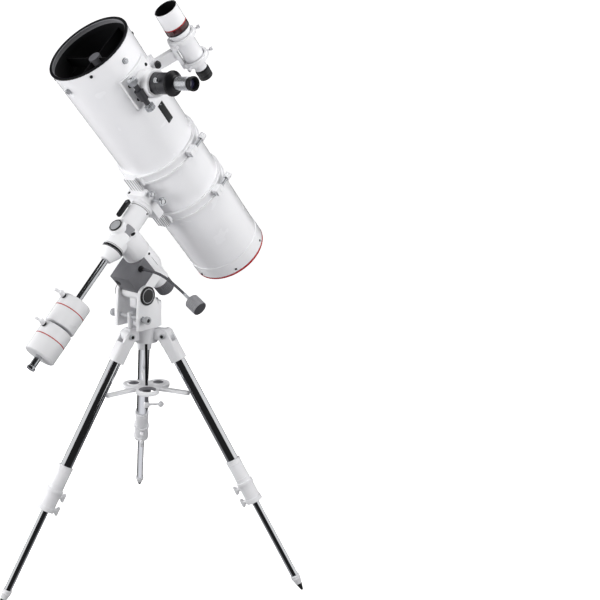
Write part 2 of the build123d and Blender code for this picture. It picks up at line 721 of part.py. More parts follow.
# Spider with the holder of the diagonal mirror, and the diagonal mirror
spider = rod(spider_hub_r, vane_x - vane_half - 6, vane_x + vane_half + 4, "x")
for step in range(4):
    vane = slab(vane_x - vane_half, vane_x + vane_half, -vane_thick / 2, vane_thick / 2, 10, tube_in)
    spider += Rot(90 * step, 0, 0) * (vane & rod(tube_in, 0, tube_front, "x"))
facing = Pos(focus_x, 0, 0) * Rot(0, 0, 135)
holder = rod(flat_r - 2, focus_x - 40, focus_x + 45, "x")
flat_room = 10 * flat_r
holder -= facing * slab(-flat_thick, flat_room, -flat_room, flat_room, -flat_room, flat_room)
spider += holder + rod(9.0, focus_x + 40, vane_x, "x")
parts["spider_and_holder"] = TUBE * spider
flat = rod(flat_r, focus_x - 60, focus_x + 60, "x")
flat &= facing * slab(-flat_thick, 0, -flat_room, flat_room, -flat_room, flat_room)
parts["diagonal_mirror"] = TUBE * flat

# Focuser: curved flange, body and pinion block
flange = slab(focus_x - flange_x + 4, focus_x + flange_x + 4, 0, 2 * tube_r, -flange_z, flange_z)
flange &= rod(tube_r + flange_thick, 0, tube_front, "x")
focuser = flange + rod(focus_body_r, tube_r - 12, focus_body_end, "y", (focus_x, 0))
pinion_at = (pinion_y, pinion_z)
block = rod(pinion_case_r, focus_x - pinion_case_half, focus_x + pinion_case_half, "x", pinion_at)
block += rod(pinion_arm_r, focus_x - pinion_arm_half, focus_x + pinion_arm_half, "x", pinion_at)
block += slab(
    focus_x - pinion_case_half, focus_x + pinion_case_half,
    pinion_y - pinion_case_r, pinion_y + pinion_below, pinion_z, pinion_z + pinion_case_r
)
block -= rod(focus_body_r, 0, focus_body_end + 1, "y", (focus_x, 0))
block -= rod(pinion_shaft_r + run, focus_x - knob_span, focus_x + knob_span, "x", pinion_at)
focuser -= rod(tube_r, 0, tube_front + 1, "x")
rack_room = rack_half + wide_gap
pinion_room = pinion_r + 1.5
passage = rod(draw_r + gap, 0, focus_body_end + 1, "y", (focus_x, 0))
passage += slab(
    focus_x - rack_room, focus_x + rack_room, 0, focus_body_end + 1, rack_low - wide_gap, 0
)
passage += rod(pinion_room, focus_x - 12, focus_x + 12, "x", pinion_at)
parts["focuser_body"] = TUBE * (focuser - passage)
parts["pinion_block"] = TUBE * (block - passage)

pinion = rod(pinion_r, focus_x - 9, focus_x + 9, "x", pinion_at)
pinion += rod(pinion_shaft_r, focus_x - knob_span, focus_x + knob_span, "x", pinion_at)
for x0 in (focus_x - knob_span - 6, focus_x + knob_span + 6 - focus_knob_len):
    pinion += rod(focus_knob_r, x0, x0 + focus_knob_len, "x", pinion_at)
parts["focus_knobs"] = TUBE * pinion

draw = rod(draw_r, draw_low, holder_start + 1, "y", (focus_x, 0))
draw += slab(
    focus_x - rack_half, focus_x + rack_half, draw_low, focus_body_end, rack_low, 0
)
nose_at = holder_end - holder_nose
draw += rod(holder_r, holder_start, nose_at, "y", (focus_x, 0))
draw += rod(holder_flange_r, nose_at - holder_flange, nose_at, "y", (focus_x, 0))
draw += rod(holder_flange_r, nose_at, holder_end, "y", (focus_x, 0), r_end=holder_nose_r)
draw -= rod(draw_r - draw_wall, draw_low - 1, holder_end - 34, "y", (focus_x, 0))
draw -= rod(eyepiece_barrel_r + run, draw_low, holder_end + 1, "y", (focus_x, 0))
screw_y = holder_start + holder_screw_at
lock = rod(4.0, holder_r - 2, holder_r + 14, "x", (screw_y, 0))
lock += rod(6.5, holder_r + 6, holder_r + 14, "x", (screw_y, 0))
draw += Pos(focus_x, 0, 0) * Rot(0, holder_screw_turn, 0) * lock
parts["drawtube_and_holder"] = TUBE * draw

eye = rod(eyepiece_barrel_r, holder_end - eyepiece_barrel_len, holder_end + 2, "y", (focus_x, 0))
eye += rod(eye_r - 0.5, holder_end + gap, holder_end + 24, "y", (focus_x, 0))
eye += rod(eye_r, holder_end + 24, eyecup_start, "y", (focus_x, 0))
eye += rod(eyecup_r, eyecup_start, eye_end, "y", (focus_x, 0))
eye -= rod(eye_lens_r, holder_end - eyepiece_barrel_len - 1, eye_end + 1, "y", (focus_x, 0))
lens_front = eye_end - eye_relief
eye_lens = rod(eye_lens_r, lens_front - eye_lens_thick, lens_front, "y", (focus_x, 0))
parts["eyepiece"] = TUBE * Compound([eye.solid(), eye_lens.solid()])

# Finder: dew shield, tube and rear draw tube, its lenses, and the two-ring bracket
axis = (0, finder_axis)
scope = rod(shield_r, shield_back, finder_front, "x", axis)
scope += rod(shield_r - 1.5, finder_cell_back, shield_back, "x", axis)
scope += rod(finder_r, finder_rings[1], finder_cell_back, "x", axis)
scope += rod(finder_tail_r, finder_taper, finder_rings[1], "x", axis, r_end=finder_r)
scope += rod(finder_tail_r, finder_tail, finder_taper, "x", axis)
scope -= rod(shield_r - finder_wall, shield_back - 10, finder_front + 1, "x", axis)
scope -= rod(finder_r - finder_wall, finder_rings[1], shield_back, "x", axis)
scope -= rod(finder_tail_r - finder_wall, finder_tail - 1, finder_rings[1] + 1, "x", axis)
parts["finder_tube"] = FINDER * scope
objective = rod(shield_r - finder_wall, shield_back - 10, shield_back - 2, "x", axis)
ocular = rod(finder_tail_r - finder_wall, finder_tail - 2, finder_tail + 10, "x", axis)
ocular += rod(finder_eye_r, finder_eye_end, finder_tail, "x", axis)
ocular -= rod(11.0, finder_eye_end - 1, finder_eye_end + 9, "x", axis)
parts["finder_optics"] = FINDER * Compound([objective.solid(), ocular.solid()])

bridge_low = finder_axis - finder_ring_out - 3
bracket = slab(
    finder_rings[1] - finder_ring_half, finder_rings[0] + finder_ring_half,
    -13, 13, bridge_low, finder_axis - finder_ring_in - 1
)
stem = (finder_x - finder_stem, finder_x + finder_stem)
bracket += slab(*stem, -9, 9, tube_r + 4, bridge_low + 2)
shoe = (finder_x - finder_shoe, finder_x + finder_shoe)
bracket += slab(*shoe, -finder_shoe_half, finder_shoe_half, tube_r - 6, tube_r + 9)
for at in finder_rings:
    bracket += rod(finder_ring_out, at - finder_ring_half, at + finder_ring_half, "x", axis)
bracket -= rod(finder_ring_in, 0, 2 * tube_front, "x", axis)
bracket -= rod(tube_r, 0, tube_front, "x")
finder_screws = []
for at in finder_rings:
    for step in range(3):
        around = Pos(0, 0, finder_axis) * Rot(120 * step, 0, 0)
        bracket -= around * rod(2.5, finder_ring_in - 2, finder_ring_out + 9, "z", (at, 0))
        screw = rod(2.5, finder_r, finder_ring_out + 12, "z", (at, 0))
        screw += rod(5.0, finder_ring_out + 9, finder_ring_out + 15, "z", (at, 0))
        finder_screws.append((around * screw).solid())
parts["finder_bracket"] = FINDER * Compound([bracket.solid(), *finder_screws])

STAND = Pos(stand_x, stand_y, 0)
for node, shape in parts.items():
    export_step(STAND * shape, f"parts/{node}.step")
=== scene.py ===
import bmesh
import bpy
from math import atan2, cos, pi, radians, sin, sqrt
from mathutils import Matrix, Vector


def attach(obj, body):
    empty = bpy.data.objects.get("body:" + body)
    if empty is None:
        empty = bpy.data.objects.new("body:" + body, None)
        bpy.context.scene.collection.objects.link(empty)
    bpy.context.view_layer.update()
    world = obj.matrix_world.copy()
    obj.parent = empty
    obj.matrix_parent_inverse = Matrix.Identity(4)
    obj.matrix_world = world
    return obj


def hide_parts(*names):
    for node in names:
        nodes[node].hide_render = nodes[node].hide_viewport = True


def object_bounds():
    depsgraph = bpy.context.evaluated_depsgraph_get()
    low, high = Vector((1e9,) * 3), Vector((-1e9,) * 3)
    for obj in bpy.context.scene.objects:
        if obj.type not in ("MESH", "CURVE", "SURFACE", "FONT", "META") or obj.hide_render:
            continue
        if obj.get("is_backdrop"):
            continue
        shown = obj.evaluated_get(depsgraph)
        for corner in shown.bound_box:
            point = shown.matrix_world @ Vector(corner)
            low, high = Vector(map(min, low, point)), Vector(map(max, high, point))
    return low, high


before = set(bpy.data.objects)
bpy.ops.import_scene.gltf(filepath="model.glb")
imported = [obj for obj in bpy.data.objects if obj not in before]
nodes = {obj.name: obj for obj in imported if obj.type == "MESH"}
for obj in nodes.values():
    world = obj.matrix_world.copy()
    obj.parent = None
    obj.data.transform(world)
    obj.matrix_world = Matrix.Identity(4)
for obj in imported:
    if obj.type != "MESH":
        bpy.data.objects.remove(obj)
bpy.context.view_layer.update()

# Sizes are in millimetres until a piece is placed; then they become metres.
STAND = Matrix.Translation((20.3, 45.8, 0))
LEAN = radians(47)
POLAR = Matrix((
    (-cos(LEAN), 0, sin(LEAN), -84.7),
    (0, -1, 0, 0),
    (sin(LEAN), 0, cos(LEAN), 1010.2),
    (0, 0, 0, 1),
))
WORLD = STAND
HEAD = STAND @ POLAR
TUBE = HEAD @ Matrix.Translation((0, 0, 256.3))
FINDER = TUBE @ Matrix.Rotation(radians(-45), 4, "X")

# Places in those frames
LEG_ANGLES = {"north": 169.3, "front": 289.3, "rear": 49.3}
HINGE_CIRCLE, HINGE_HEIGHT = 62.5, 712.7
LEG_TILT = atan2(433.4, HINGE_HEIGHT)
TUBE_SKIN = 115.8
RINGS = {"front": 74, "back": -84}
FOCUSER_AT = (320, 0, 0)
FINDER_AT = (0, 0, 220)
WEIGHTS = (("upper", -323, -236), ("lower", -416, -329))
LATITUDE_PIN = (-43, 0, 837)
AZIMUTH_SCREWS = (-62, 0, 772)
LATITUDE_SCREW_HEIGHT = 801
CABLE_START = (-90, 50, -44)
TRAY_HOLE_CIRCLE = 42
TRAY_HOLES = ((25.7, 229.3), (16.2, 349.3), (16.2, 109.3))
CAMERA_TURN = radians(-46)


def leg_frame(angle):
    """A leg's own frame: Z down the leg from its hinge, Y outwards."""
    turn = radians(angle)
    across = Vector((-sin(turn), cos(turn), 0))
    down = Vector((sin(LEG_TILT) * cos(turn), sin(LEG_TILT) * sin(turn), -cos(LEG_TILT)))
    out = down.cross(across)
    m = Matrix((across, out, down)).transposed().to_4x4()
    m.translation = (HINGE_CIRCLE * cos(turn), HINGE_CIRCLE * sin(turn), HINGE_HEIGHT)
    return STAND @ m


def shown(name, data):
    """A new object in the scene."""
    made = bpy.data.objects.new(name, data)
    bpy.context.scene.collection.objects.link(made)
    return made


# Camera at the photograph's angle
camera = shown("camera", bpy.data.cameras.new("camera"))
bpy.context.scene.camera = camera
eye = STAND @ Vector((-1786.6, -1848.2, 1448.0)) / 1000
aim = STAND @ Vector((-196.8, -325.2, 900.0)) / 1000
camera.location = eye
camera.rotation_euler = (aim - eye).to_track_quat("-Z", "Y").to_euler()
camera.data.sensor_width = 36
camera.data.lens = 55.1
camera.data.shift_x = 0.2
camera.data.clip_end = 50


# Slow-motion cable on the points of its route: straight out of the worm cover, then drooping
cable_out, cable_drop = (0, 42, 85, 130, 178), (0, 0, 9.4, 29.4, 55.7)
route = [HEAD @ (Vector(CABLE_START) + Vector((0, out, 0))) + Vector((0, 0, -drop))
         for out, drop in zip(cable_out, cable_drop)]
line = bpy.data.curves.new("slow_motion_cable_line", "CURVE")
line.dimensions = "3D"
line.bevel_depth = 0.004
line.bevel_resolution = 6
line.use_fill_caps = True
spline = line.splines.new("NURBS")
spline.points.add(len(route) - 1)
for point, place in zip(spline.points, route):
    point.co = (*(place / 1000), 1)
spline.order_u = 3
spline.use_endpoint_u = True
spline.resolution_u = 16
cable = shown("slow_motion_cable_sheath", line)


def linear(code):
    """An sRGB hex colour as linear red, green, blue and alpha."""
    parts = [int(code[i:i + 2], 16) / 255 for i in (1, 3, 5)]
    return (*[v / 12.92 if v <= 0.04045 else ((v + 0.055) / 1.055) ** 2.4 for v in parts], 1)


def add(tree, kind, sockets, **settings):
    """A node with its settings; each socket takes a value, or a link from another node's output."""
    node = tree.nodes.new(kind)
    for name, value in settings.items():
        setattr(node, name, value)
    for key, value in sockets.items():
        if isinstance(value, bpy.types.NodeSocket):
            tree.links.new(value, node.inputs[key])
        else:
            node.inputs[key].default_value = value
    return node


def finish_of(name, colour, shade, rough, uneven, grain_mm, bump, metallic=0.0, drawn=1, **more):
    """A finish with two close colours, uneven gloss and a fine relief, all at the grain's real size."""
    material = bpy.data.materials.new(name)
    material.use_nodes = True
    tree = material.node_tree
    shader = tree.nodes["Principled BSDF"]
    shader.inputs["Metallic"].default_value = metallic
    for key, value in more.items():
        shader.inputs[key.replace("_", " ")].default_value = value
    place = add(tree, "ShaderNodeTexCoord", {})
    size = add(tree, "ShaderNodeMapping", {"Vector": place.outputs["Object"], "Scale": (1, 1, drawn)})
    grain = add(tree, "ShaderNodeTexNoise",
                {"Vector": size.outputs[0], "Scale": 1000 / grain_mm, "Detail": 3.0})
    cloud = add(tree, "ShaderNodeTexNoise", {"Vector": size.outputs[0], "Scale": 14.0, "Detail": 2.0})
    blend = add(tree, "ShaderNodeMix",
                {0: cloud.outputs["Fac"], 6: linear(colour), 7: linear(shade)}, data_type="RGBA")
    gloss = add(tree, "ShaderNodeMapRange",
                {0: cloud.outputs["Fac"], 1: 0.3, 2: 0.7, 3: rough - uneven, 4: rough + uneven})
    relief = add(tree, "ShaderNodeBump",
                 {"Height": grain.outputs["Fac"], "Strength": bump, "Distance": grain_mm / 5000})
    tree.links.new(blend.outputs[2], shader.inputs["Base Color"])
    tree.links.new(gloss.outputs[0], shader.inputs["Roughness"])
    tree.links.new(relief.outputs[0], shader.inputs["Normal"])
    return material


# Stoved enamel: a smooth cool white with a wet gloss and a faint orange peel
white_enamel = finish_of("white_stoved_enamel", "#f3f3f5", "#eeeef1", 0.24, 0.04, 1.6, 0.03,
                         Coat_Weight=0.35, Coat_Roughness=0.1)
# The tube's stoved enamel on the weights, with the same gloss, made a shade greyer as painted shade
shaded_white_enamel = finish_of("white_stoved_enamel_painted_shade", "#e2e2e4", "#dadadc", 0.3, 0.05, 1.6, 0.04,
                        Coat_Weight=0.25, Coat_Roughness=0.12)
# Powder coat on castings: a softer white with a fine pebbled skin
white_powder = finish_of("white_powder_coat", "#efeff1", "#e8e8ea", 0.38, 0.06, 1.1, 0.12)
# Powder coat on the tripod's castings and the wing screws: a shade greyer
grey_powder = finish_of("light_grey_powder_coat", "#e4e4e6", "#dadadd", 0.4, 0.06, 1.1, 0.12)
# Wrinkle paint on the worm cover and polar cap: a dark grey with a broken sheen
dark_powder = finish_of("dark_grey_wrinkle_paint", "#68686c", "#5e5e62", 0.45, 0.07, 1.4, 0.35)
# Mid-grey as painted light: painted shade in the declination housing's recess, and a painted highlight round
# the tube's mouth
grey_shade_and_highlight_paint = finish_of("painted_shade_and_highlight_grey", "#98989c", "#8e8e92", 0.5, 0.06, 1.2, 0.2)
# Moulded grey plastic with a satin skin on the slow-motion grip; the same grey is a painted highlight on a
# band inside the tube's rim
grey_plastic_and_painted_highlight = finish_of("grey_moulded_plastic_and_painted_highlight", "#88888b", "#7d7d81", 0.42, 0.06, 1.2, 0.2)
# Dark grey satin paint on the eyepiece holder; the same dark grey is painted shade in strips along the
# dovetail bar
dark_satin_paint_and_shade_lines = finish_of("dark_grey_satin_paint_and_painted_shade", "#38383c", "#303034", 0.32, 0.05, 1.1, 0.1)
# Bead-blasted aluminium on the azimuth screws, hinge bolts and degree marks
grey_metal = finish_of("blasted_aluminium", "#c9cacd", "#b9babd", 0.38, 0.05, 0.9, 0.15, metallic=0.4)
# Anodised aluminium: black with a soft metallic sheen
black_anodised = finish_of("black_anodised_aluminium", "#141416", "#1b1b1e", 0.34, 0.06, 1.0, 0.1,
                           metallic=0.3)
# Moulded ABS: black, fine spark-eroded texture
black_plastic = finish_of("black_moulded_plastic", "#161617", "#1d1d1f", 0.42, 0.06, 1.2, 0.22)
# Flat black paint inside the tube: takes nearly all light
flat_black = finish_of("flat_black_paint", "#0a0a0b", "#121214", 0.7, 0.08, 1.0, 0.25)
# Polished chrome plate: bright, with faint drawn lines
chrome = finish_of("polished_chrome_plate", "#e6e7ea", "#d8dadd", 0.06, 0.025, 2.0, 0.015,
                   metallic=1.0, drawn=0.2)
# Turned stainless steel on knobs and screws
steel = finish_of("turned_stainless_steel", "#d2d4d7", "#c2c4c8", 0.26, 0.05, 0.8, 0.06, metallic=0.8)
# Ground steel under chrome on the counterweight bar: a soft mirror
ground_steel = finish_of("ground_chromed_steel", "#d4d6d9", "#c6c8cb", 0.17, 0.04, 1.5, 0.05,
                         metallic=1.0, drawn=0.2)
# Blackened steel on the centre rod, the polar shaft and small screws
black_steel = finish_of("blackened_steel", "#1d1d1f", "#28282b", 0.3, 0.06, 0.9, 0.1, metallic=0.7)
# Gear brass on the worm
brass = finish_of("gear_brass", "#c9a45a", "#b08d48", 0.25, 0.05, 0.9, 0.08, metallic=1.0)
# Black rubber on the eyecup and the feet's spikes; the same black is painted shade in the cover's opening
# and the bolts' sockets
rubber = finish_of("black_rubber", "#121213", "#19191a", 0.55, 0.06, 1.0, 0.3)
# Dark grey vinyl sheath of the slow-motion cable
sheath_vinyl = finish_of("dark_grey_vinyl", "#4c4c50", "#424246", 0.22, 0.05, 1.0, 0.1)
# Aluminised glass of both mirrors
mirror_glass = finish_of("aluminised_glass", "#e9ebee", "#e4e6ea", 0.03, 0.01, 3.0, 0.0, metallic=1.0)
# Coated lens glass: a dark violet-grey gloss
lens_glass = finish_of("coated_lens_glass", "#26253a", "#302f42", 0.04, 0.01, 3.0, 0.0,
                       Coat_Weight=1.0, Coat_Roughness=0.02)
# Dark red lacquer on the finder's band
dark_red = finish_of("dark_red_lacquer", "#47181c", "#3a1417", 0.12, 0.03, 1.2, 0.03,
                     Coat_Weight=0.5, Coat_Roughness=0.05)
# Red gloss paint of the trim lines on the tube, the finder and the weights
red_trim = finish_of("red_trim_paint", "#b3262b", "#a31f25", 0.25, 0.04, 1.2, 0.04, Coat_Weight=0.3)
# Adhesive grey felt inside the tube rings: takes light softly
grey_felt = finish_of("grey_wool_felt", "#747477", "#68686b", 0.9, 0.04, 0.8, 0.6, Sheen_Weight=0.4)
# Dark chrome on the draw tube: a smoky mirror
black_chrome = finish_of("black_chrome_plate", "#6d6e72", "#58595d", 0.16, 0.04, 1.0, 0.05, metallic=1.0)


# A shape is a list of points in millimetres and a list of faces.
def merged(*shapes):
    """Several shapes as one."""
    points, faces = [], []
    for some, rings in shapes:
        start = len(points)
        points += some
        faces += [[start + i for i in ring] for ring in rings]
    return points, faces


def laid(shape, axis, at=(0, 0, 0)):
    """A shape made along Z, laid along another axis and moved."""
    order = {"x": (2, 0, 1), "y": (1, 2, 0), "z": (0, 1, 2)}[axis]
    return [tuple(p[order[i]] + at[i] for i in range(3)) for p in shape[0]], shape[1]


def put(place, *shapes):
    """Shapes in one piece's own frame, put into the model's frame."""
    points, faces = merged(*shapes)
    return [tuple(place @ Vector(p)) for p in points], faces


def along(place, axis, at=(0, 0, 0)):
    """A function that takes shapes made on Z and lays them along an axis of a frame."""
    return lambda *shapes: put(place, *[laid(shape, axis, at) for shape in shapes])


on_tube = along(TUBE, "x")
on_focuser = along(TUBE, "y", FOCUSER_AT)
on_finder = along(FINDER, "x", FINDER_AT)
on_polar = along(HEAD, "x")


def both_sides(at, shape):
    """A shape made on Z, laid along Y from a place, and its twin turned half round."""
    here = Matrix.Translation(at)
    ways = (here, here @ Matrix.Rotation(pi, 4, "Z"))
    return put(WORLD, *[put(way, laid(shape, "y")) for way in ways])


def flipped(shape, signs):
    """A shape with some of its axes turned round, and its faces still outwards."""
    mirrored = signs[0] * signs[1] * signs[2] < 0
    faces = [ring[::-1] for ring in shape[1]] if mirrored else shape[1]
    return [tuple(v * sign for v, sign in zip(p, signs)) for p in shape[0]], faces


def shape_of(bm):
    """The shape that an edit mesh holds."""
    bm.verts.index_update()
    shape = [tuple(v.co) for v in bm.verts], [[v.index for v in f.verts] for f in bm.faces]
    bm.free()
    return shape


def edit_mesh(shape):
    """An edit mesh of a closed shape, with its faces outwards."""
    bm = bmesh.new()
    corners = [bm.verts.new(p) for p in shape[0]]
    for ring in shape[1]:
        bm.faces.new([corners[i] for i in ring])
    bmesh.ops.recalc_face_normals(bm, faces=bm.faces)
    return bm


def bevelled(shape, edge, angle=30, steps=2):
    """A closed shape with its sharp edges rounded."""
    bm = edit_mesh(shape)
    sharp = [e for e in bm.edges if e.calc_face_angle(0) > radians(angle)]
    bmesh.ops.bevel(bm, geom=sharp, offset=edge, segments=steps, profile=0.5, affect="EDGES",
                    clamp_overlap=True)
    return shape_of(bm)


def eased(profile, edge):
    """A profile with its corners rounded."""
    points = [Vector(p) for p in profile]
    result = [points[0]]
    for before, corner, after in zip(points, points[1:], points[2:]):
        back = before - corner
        onward = after - corner
        reach = min(edge, back.length * 0.45, onward.length * 0.45)
        start = corner + back.normalized() * reach
        end = corner + onward.normalized() * reach
        for t in (0, 1 / 3, 2 / 3, 1):
            result.append(start * (1 - t) ** 2 + corner * 2 * t * (1 - t) + end * t ** 2)
    return [tuple(p) for p in (*result, points[-1])]


def turned(profile, steps=64, edge=0.0, first=0.0, sweep=360.0):
    """A closed profile of (along, radius) points turned about Z, all round or through part of a turn."""
    profile = eased(profile, edge) if edge else profile
    whole = sweep == 360.0
    ring = profile[0][1] > 0
    columns = steps if whole else steps + 1
    points, rows = [], []
    for along, radius in profile:
        count = columns if radius > 0 else 1
        rows.append(range(len(points), len(points) + count))
        for i in range(count):
            turn = radians(first + sweep * i / steps)
            points.append((radius * cos(turn), radius * sin(turn), along))
    rows = [*rows, rows[0]] if ring else rows
    faces = []
    for low, high in zip(rows, rows[1:]):
        for i in range(steps):
            j = (i + 1) % columns
            corners = [low[i % len(low)], low[j % len(low)], high[j % len(high)], high[i % len(high)]]
            faces.append(list(dict.fromkeys(corners)))
    if not whole:
        faces += [[row[0] for row in rows[:-1]], [row[-1] for row in rows[:-1]]]
    return shape_of(edit_mesh((points, [f for f in faces if len(f) > 2])))


def cylinder(low, high, r, steps, edge=0.0, bore=0.0):
    """A plain cylinder on Z, or a sleeve where it has a bore."""
    return turned(((low, bore), (low, r), (high, r), (high, bore)), steps, edge)


def prism(outline, low, high, edge=0.0, steps=2):
    """An outline of (x, y) points raised from low to high along Z."""
    count = len(outline)
    points = [(x, y, z) for z in (low, high) for x, y in outline]
    faces = [[*range(count)], [*range(count, 2 * count)]]
    faces += [[i, (i + 1) % count, count + (i + 1) % count, count + i] for i in range(count)]
    return bevelled((points, faces), edge, 30, steps) if edge else shape_of(edit_mesh((points, faces)))


def block(x0, x1, y0, y1, z0, z1, edge):
    """A block with rounded edges."""
    return prism(((x0, y0), (x1, y0), (x1, y1), (x0, y1)), z0, z1, edge)


def panel(points, columns, edge):
    """A thin curved panel from its inner and then its outer points, in two rows of columns each."""
    row, sheet = columns, 2 * columns
    steps = range(columns - 1)
    faces = [[k + i, k + i + 1, k + i + row + 1, k + i + row] for k in (0, sheet) for i in steps]
    faces += [[k + i, k + i + 1, k + i + sheet + 1, k + i + sheet] for k in (0, row) for i in steps]
    faces += [[i, i + row, i + row + sheet, i + sheet] for i in (0, columns - 1)]
    return bevelled((points, faces), edge)


def upright(shape):
    """A flat shape stood up, with its Y axis along Z."""
    return [(x, -z, y) for x, y, z in shape[0]], shape[1]


def arc(x, y, r, first, last, steps=12):
    """Points of an arc, in degrees."""
    turns = [radians(first + (last - first) * i / steps) for i in range(steps + 1)]
    return [(x + r * cos(t), y + r * sin(t)) for t in turns]


def cad_parts(node):
    """A node's solids as shapes in the model's frame, the one with the most points first."""
    bm = bmesh.new()
    bm.from_mesh(nodes[node].data)
    bmesh.ops.remove_doubles(bm, verts=bm.verts, dist=1e-6)
    bmesh.ops.scale(bm, vec=(1000, 1000, 1000), verts=bm.verts)
    bm.verts.index_update()
    left, found = set(bm.verts), []
    while left:
        start = next(v for v in bm.verts if v in left)
        island, edge = {start}, [start]
        while edge:
            near = [e.other_vert(v) for v in edge for e in v.link_edges]
            edge = [v for v in dict.fromkeys(near) if v not in island]
            island.update(edge)
        left -= island
        own = [v for v in bm.verts if v in island]
        order = {v.index: i for i, v in enumerate(own)}
        faces = [[order[v.index] for v in f.verts] for f in bm.faces if f.verts[0] in island]
        found.append(([tuple(v.co) for v in own], faces))
    bm.free()
    return sorted(found, key=lambda shape: -len(shape[0]))


def cad(node):
    """All of a node's solids as one shape in the model's frame."""
    return merged(*cad_parts(node))


def in_order(shape):
    """A shape of triangles and quads in one fixed order, with each quad's diagonal kept."""
    order = sorted(range(len(shape[0])), key=lambda i: shape[0][i])
    rank = {old: new for new, old in enumerate(order)}
    faces = []
    for ring in shape[1]:
        ring = [rank[i] for i in ring]
        step = 2 if len(ring) == 4 else 1
        faces.append(min(ring[k:] + ring[:k] for k in range(0, len(ring), step)))
    return [shape[0][i] for i in order], sorted(faces)


def softened(shape, edge):
    """A solid's shape with its flat faces made whole and its outer sharp edges rounded."""
    bm = edit_mesh(shape)
    bmesh.ops.dissolve_limit(bm, angle_limit=radians(1), verts=bm.verts, edges=bm.edges)
    sharp = [e for e in bm.edges if e.is_manifold and e.calc_face_angle_signed(0) > radians(40)]
    bmesh.ops.bevel(bm, geom=sharp, offset=edge, segments=2, profile=0.5, affect="EDGES",
                    clamp_overlap=True)
    bmesh.ops.triangulate(bm, faces=[f for f in bm.faces if len(f.verts) > 4])
    return in_order(shape_of(bm))


def parted(shape, place, test):
    """A shape's faces in two shapes: those whose middle, in a frame, passes a test, and the rest."""
    back = place.inverted()
    groups = ([], [])
    for ring in shape[1]:
        middle = sum((Vector(shape[0][i]) for i in ring), Vector()) / len(ring)
        groups[0 if test(back @ middle) else 1].append(ring)
    halves = []
    for rings in groups:
        used = sorted({i for ring in rings for i in ring})
        order = {old: new for new, old in enumerate(used)}
        halves.append(([shape[0][i] for i in used], [[order[i] for i in ring] for ring in rings]))
    return halves


def piece(name, body, slot, *groups, replaces=()):
    """One object from groups of a material and its shapes, riding on a body and standing for some nodes."""
    mesh = bpy.data.meshes.new(name)
    points, faces, finish = [], [], []
    for number, (material, *shapes) in enumerate(groups):
        mesh.materials.append(material)
        some, rings = merged(*shapes)
        faces += [[len(points) + i for i in ring] for ring in rings]
        finish += [number] * len(rings)
        points += [Vector(p) / 1000 for p in some]
    mesh.from_pydata(points, [], faces)
    mesh.polygons.foreach_set("material_index", finish)
    mesh.polygons.foreach_set("use_smooth", [True] * len(faces))
    mesh.set_sharp_from_angle(angle=radians(32))
    made = shown(name, mesh)
    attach(made, body)
    if replaces:
        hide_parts(*replaces)
    return made


def row_tree(name, inputs, layout):
    """A tree that sets copies of one shape on a layout's points, and ends as plain mesh with its finish."""
    tree = bpy.data.node_groups.new(name, "GeometryNodeTree")
    for label, kind in (("Places", "Geometry"), ("Shape", "Object"), ("Finish", "Material"), *inputs):
        tree.interface.new_socket(label, in_out="INPUT", socket_type="NodeSocket" + kind)
    tree.interface.new_socket("Mesh", in_out="OUTPUT", socket_type="NodeSocketGeometry")
    given = tree.nodes.new("NodeGroupInput").outputs
    where, turn = layout(tree, given)
    copy = add(tree, "GeometryNodeObjectInfo", {"Object": given["Shape"]})
    row = add(tree, "GeometryNodeInstanceOnPoints",
              {"Points": where, "Instance": copy.outputs["Geometry"], "Rotation": turn})
    real = add(tree, "GeometryNodeRealizeInstances", {"Geometry": row.outputs[0]})
    done = add(tree, "GeometryNodeSetMaterial", {"Geometry": real.outputs[0], "Material": given["Finish"]})
    add(tree, "NodeGroupOutput", {0: done.outputs[0]})
    return tree


def round_layout(tree, given):
    """Points on a circle, each copy's X axis outwards."""
    circle = add(tree, "GeometryNodeMeshCircle", {"Vertices": given["Count"], "Radius": given["Radius"]})
    spot = add(tree, "GeometryNodeInputPosition", {})
    turn = add(tree, "FunctionNodeAlignRotationToVector", {"Vector": spot.outputs[0]},
               axis="X", pivot_axis="Z")
    return circle.outputs[0], turn.outputs[0]


def straight_layout(tree, given):
    """Points in a line, all copies the same way up."""
    line_up = add(tree, "GeometryNodeMeshLine", {"Count": given["Count"], "Offset": given["Step"]})
    turn = add(tree, "FunctionNodeEulerToRotation", {})
    return line_up.outputs[0], turn.outputs[0]


def spread_layout(tree, given):
    """The given places, each copy's Z axis along the direction stored there."""
    facing = add(tree, "GeometryNodeInputNamedAttribute", {"Name": "facing"}, data_type="FLOAT_VECTOR")
    turn = add(tree, "FunctionNodeAlignRotationToVector", {"Vector": facing.outputs[0]}, axis="Z")
    return given["Places"], turn.outputs[0]


round_tree = row_tree("copies_round_a_circle", (("Count", "Int"), ("Radius", "Float")), round_layout)
straight_tree = row_tree("copies_in_a_line", (("Count", "Int"), ("Step", "Vector")), straight_layout)
spread_tree = row_tree("copies_at_places", (), spread_layout)


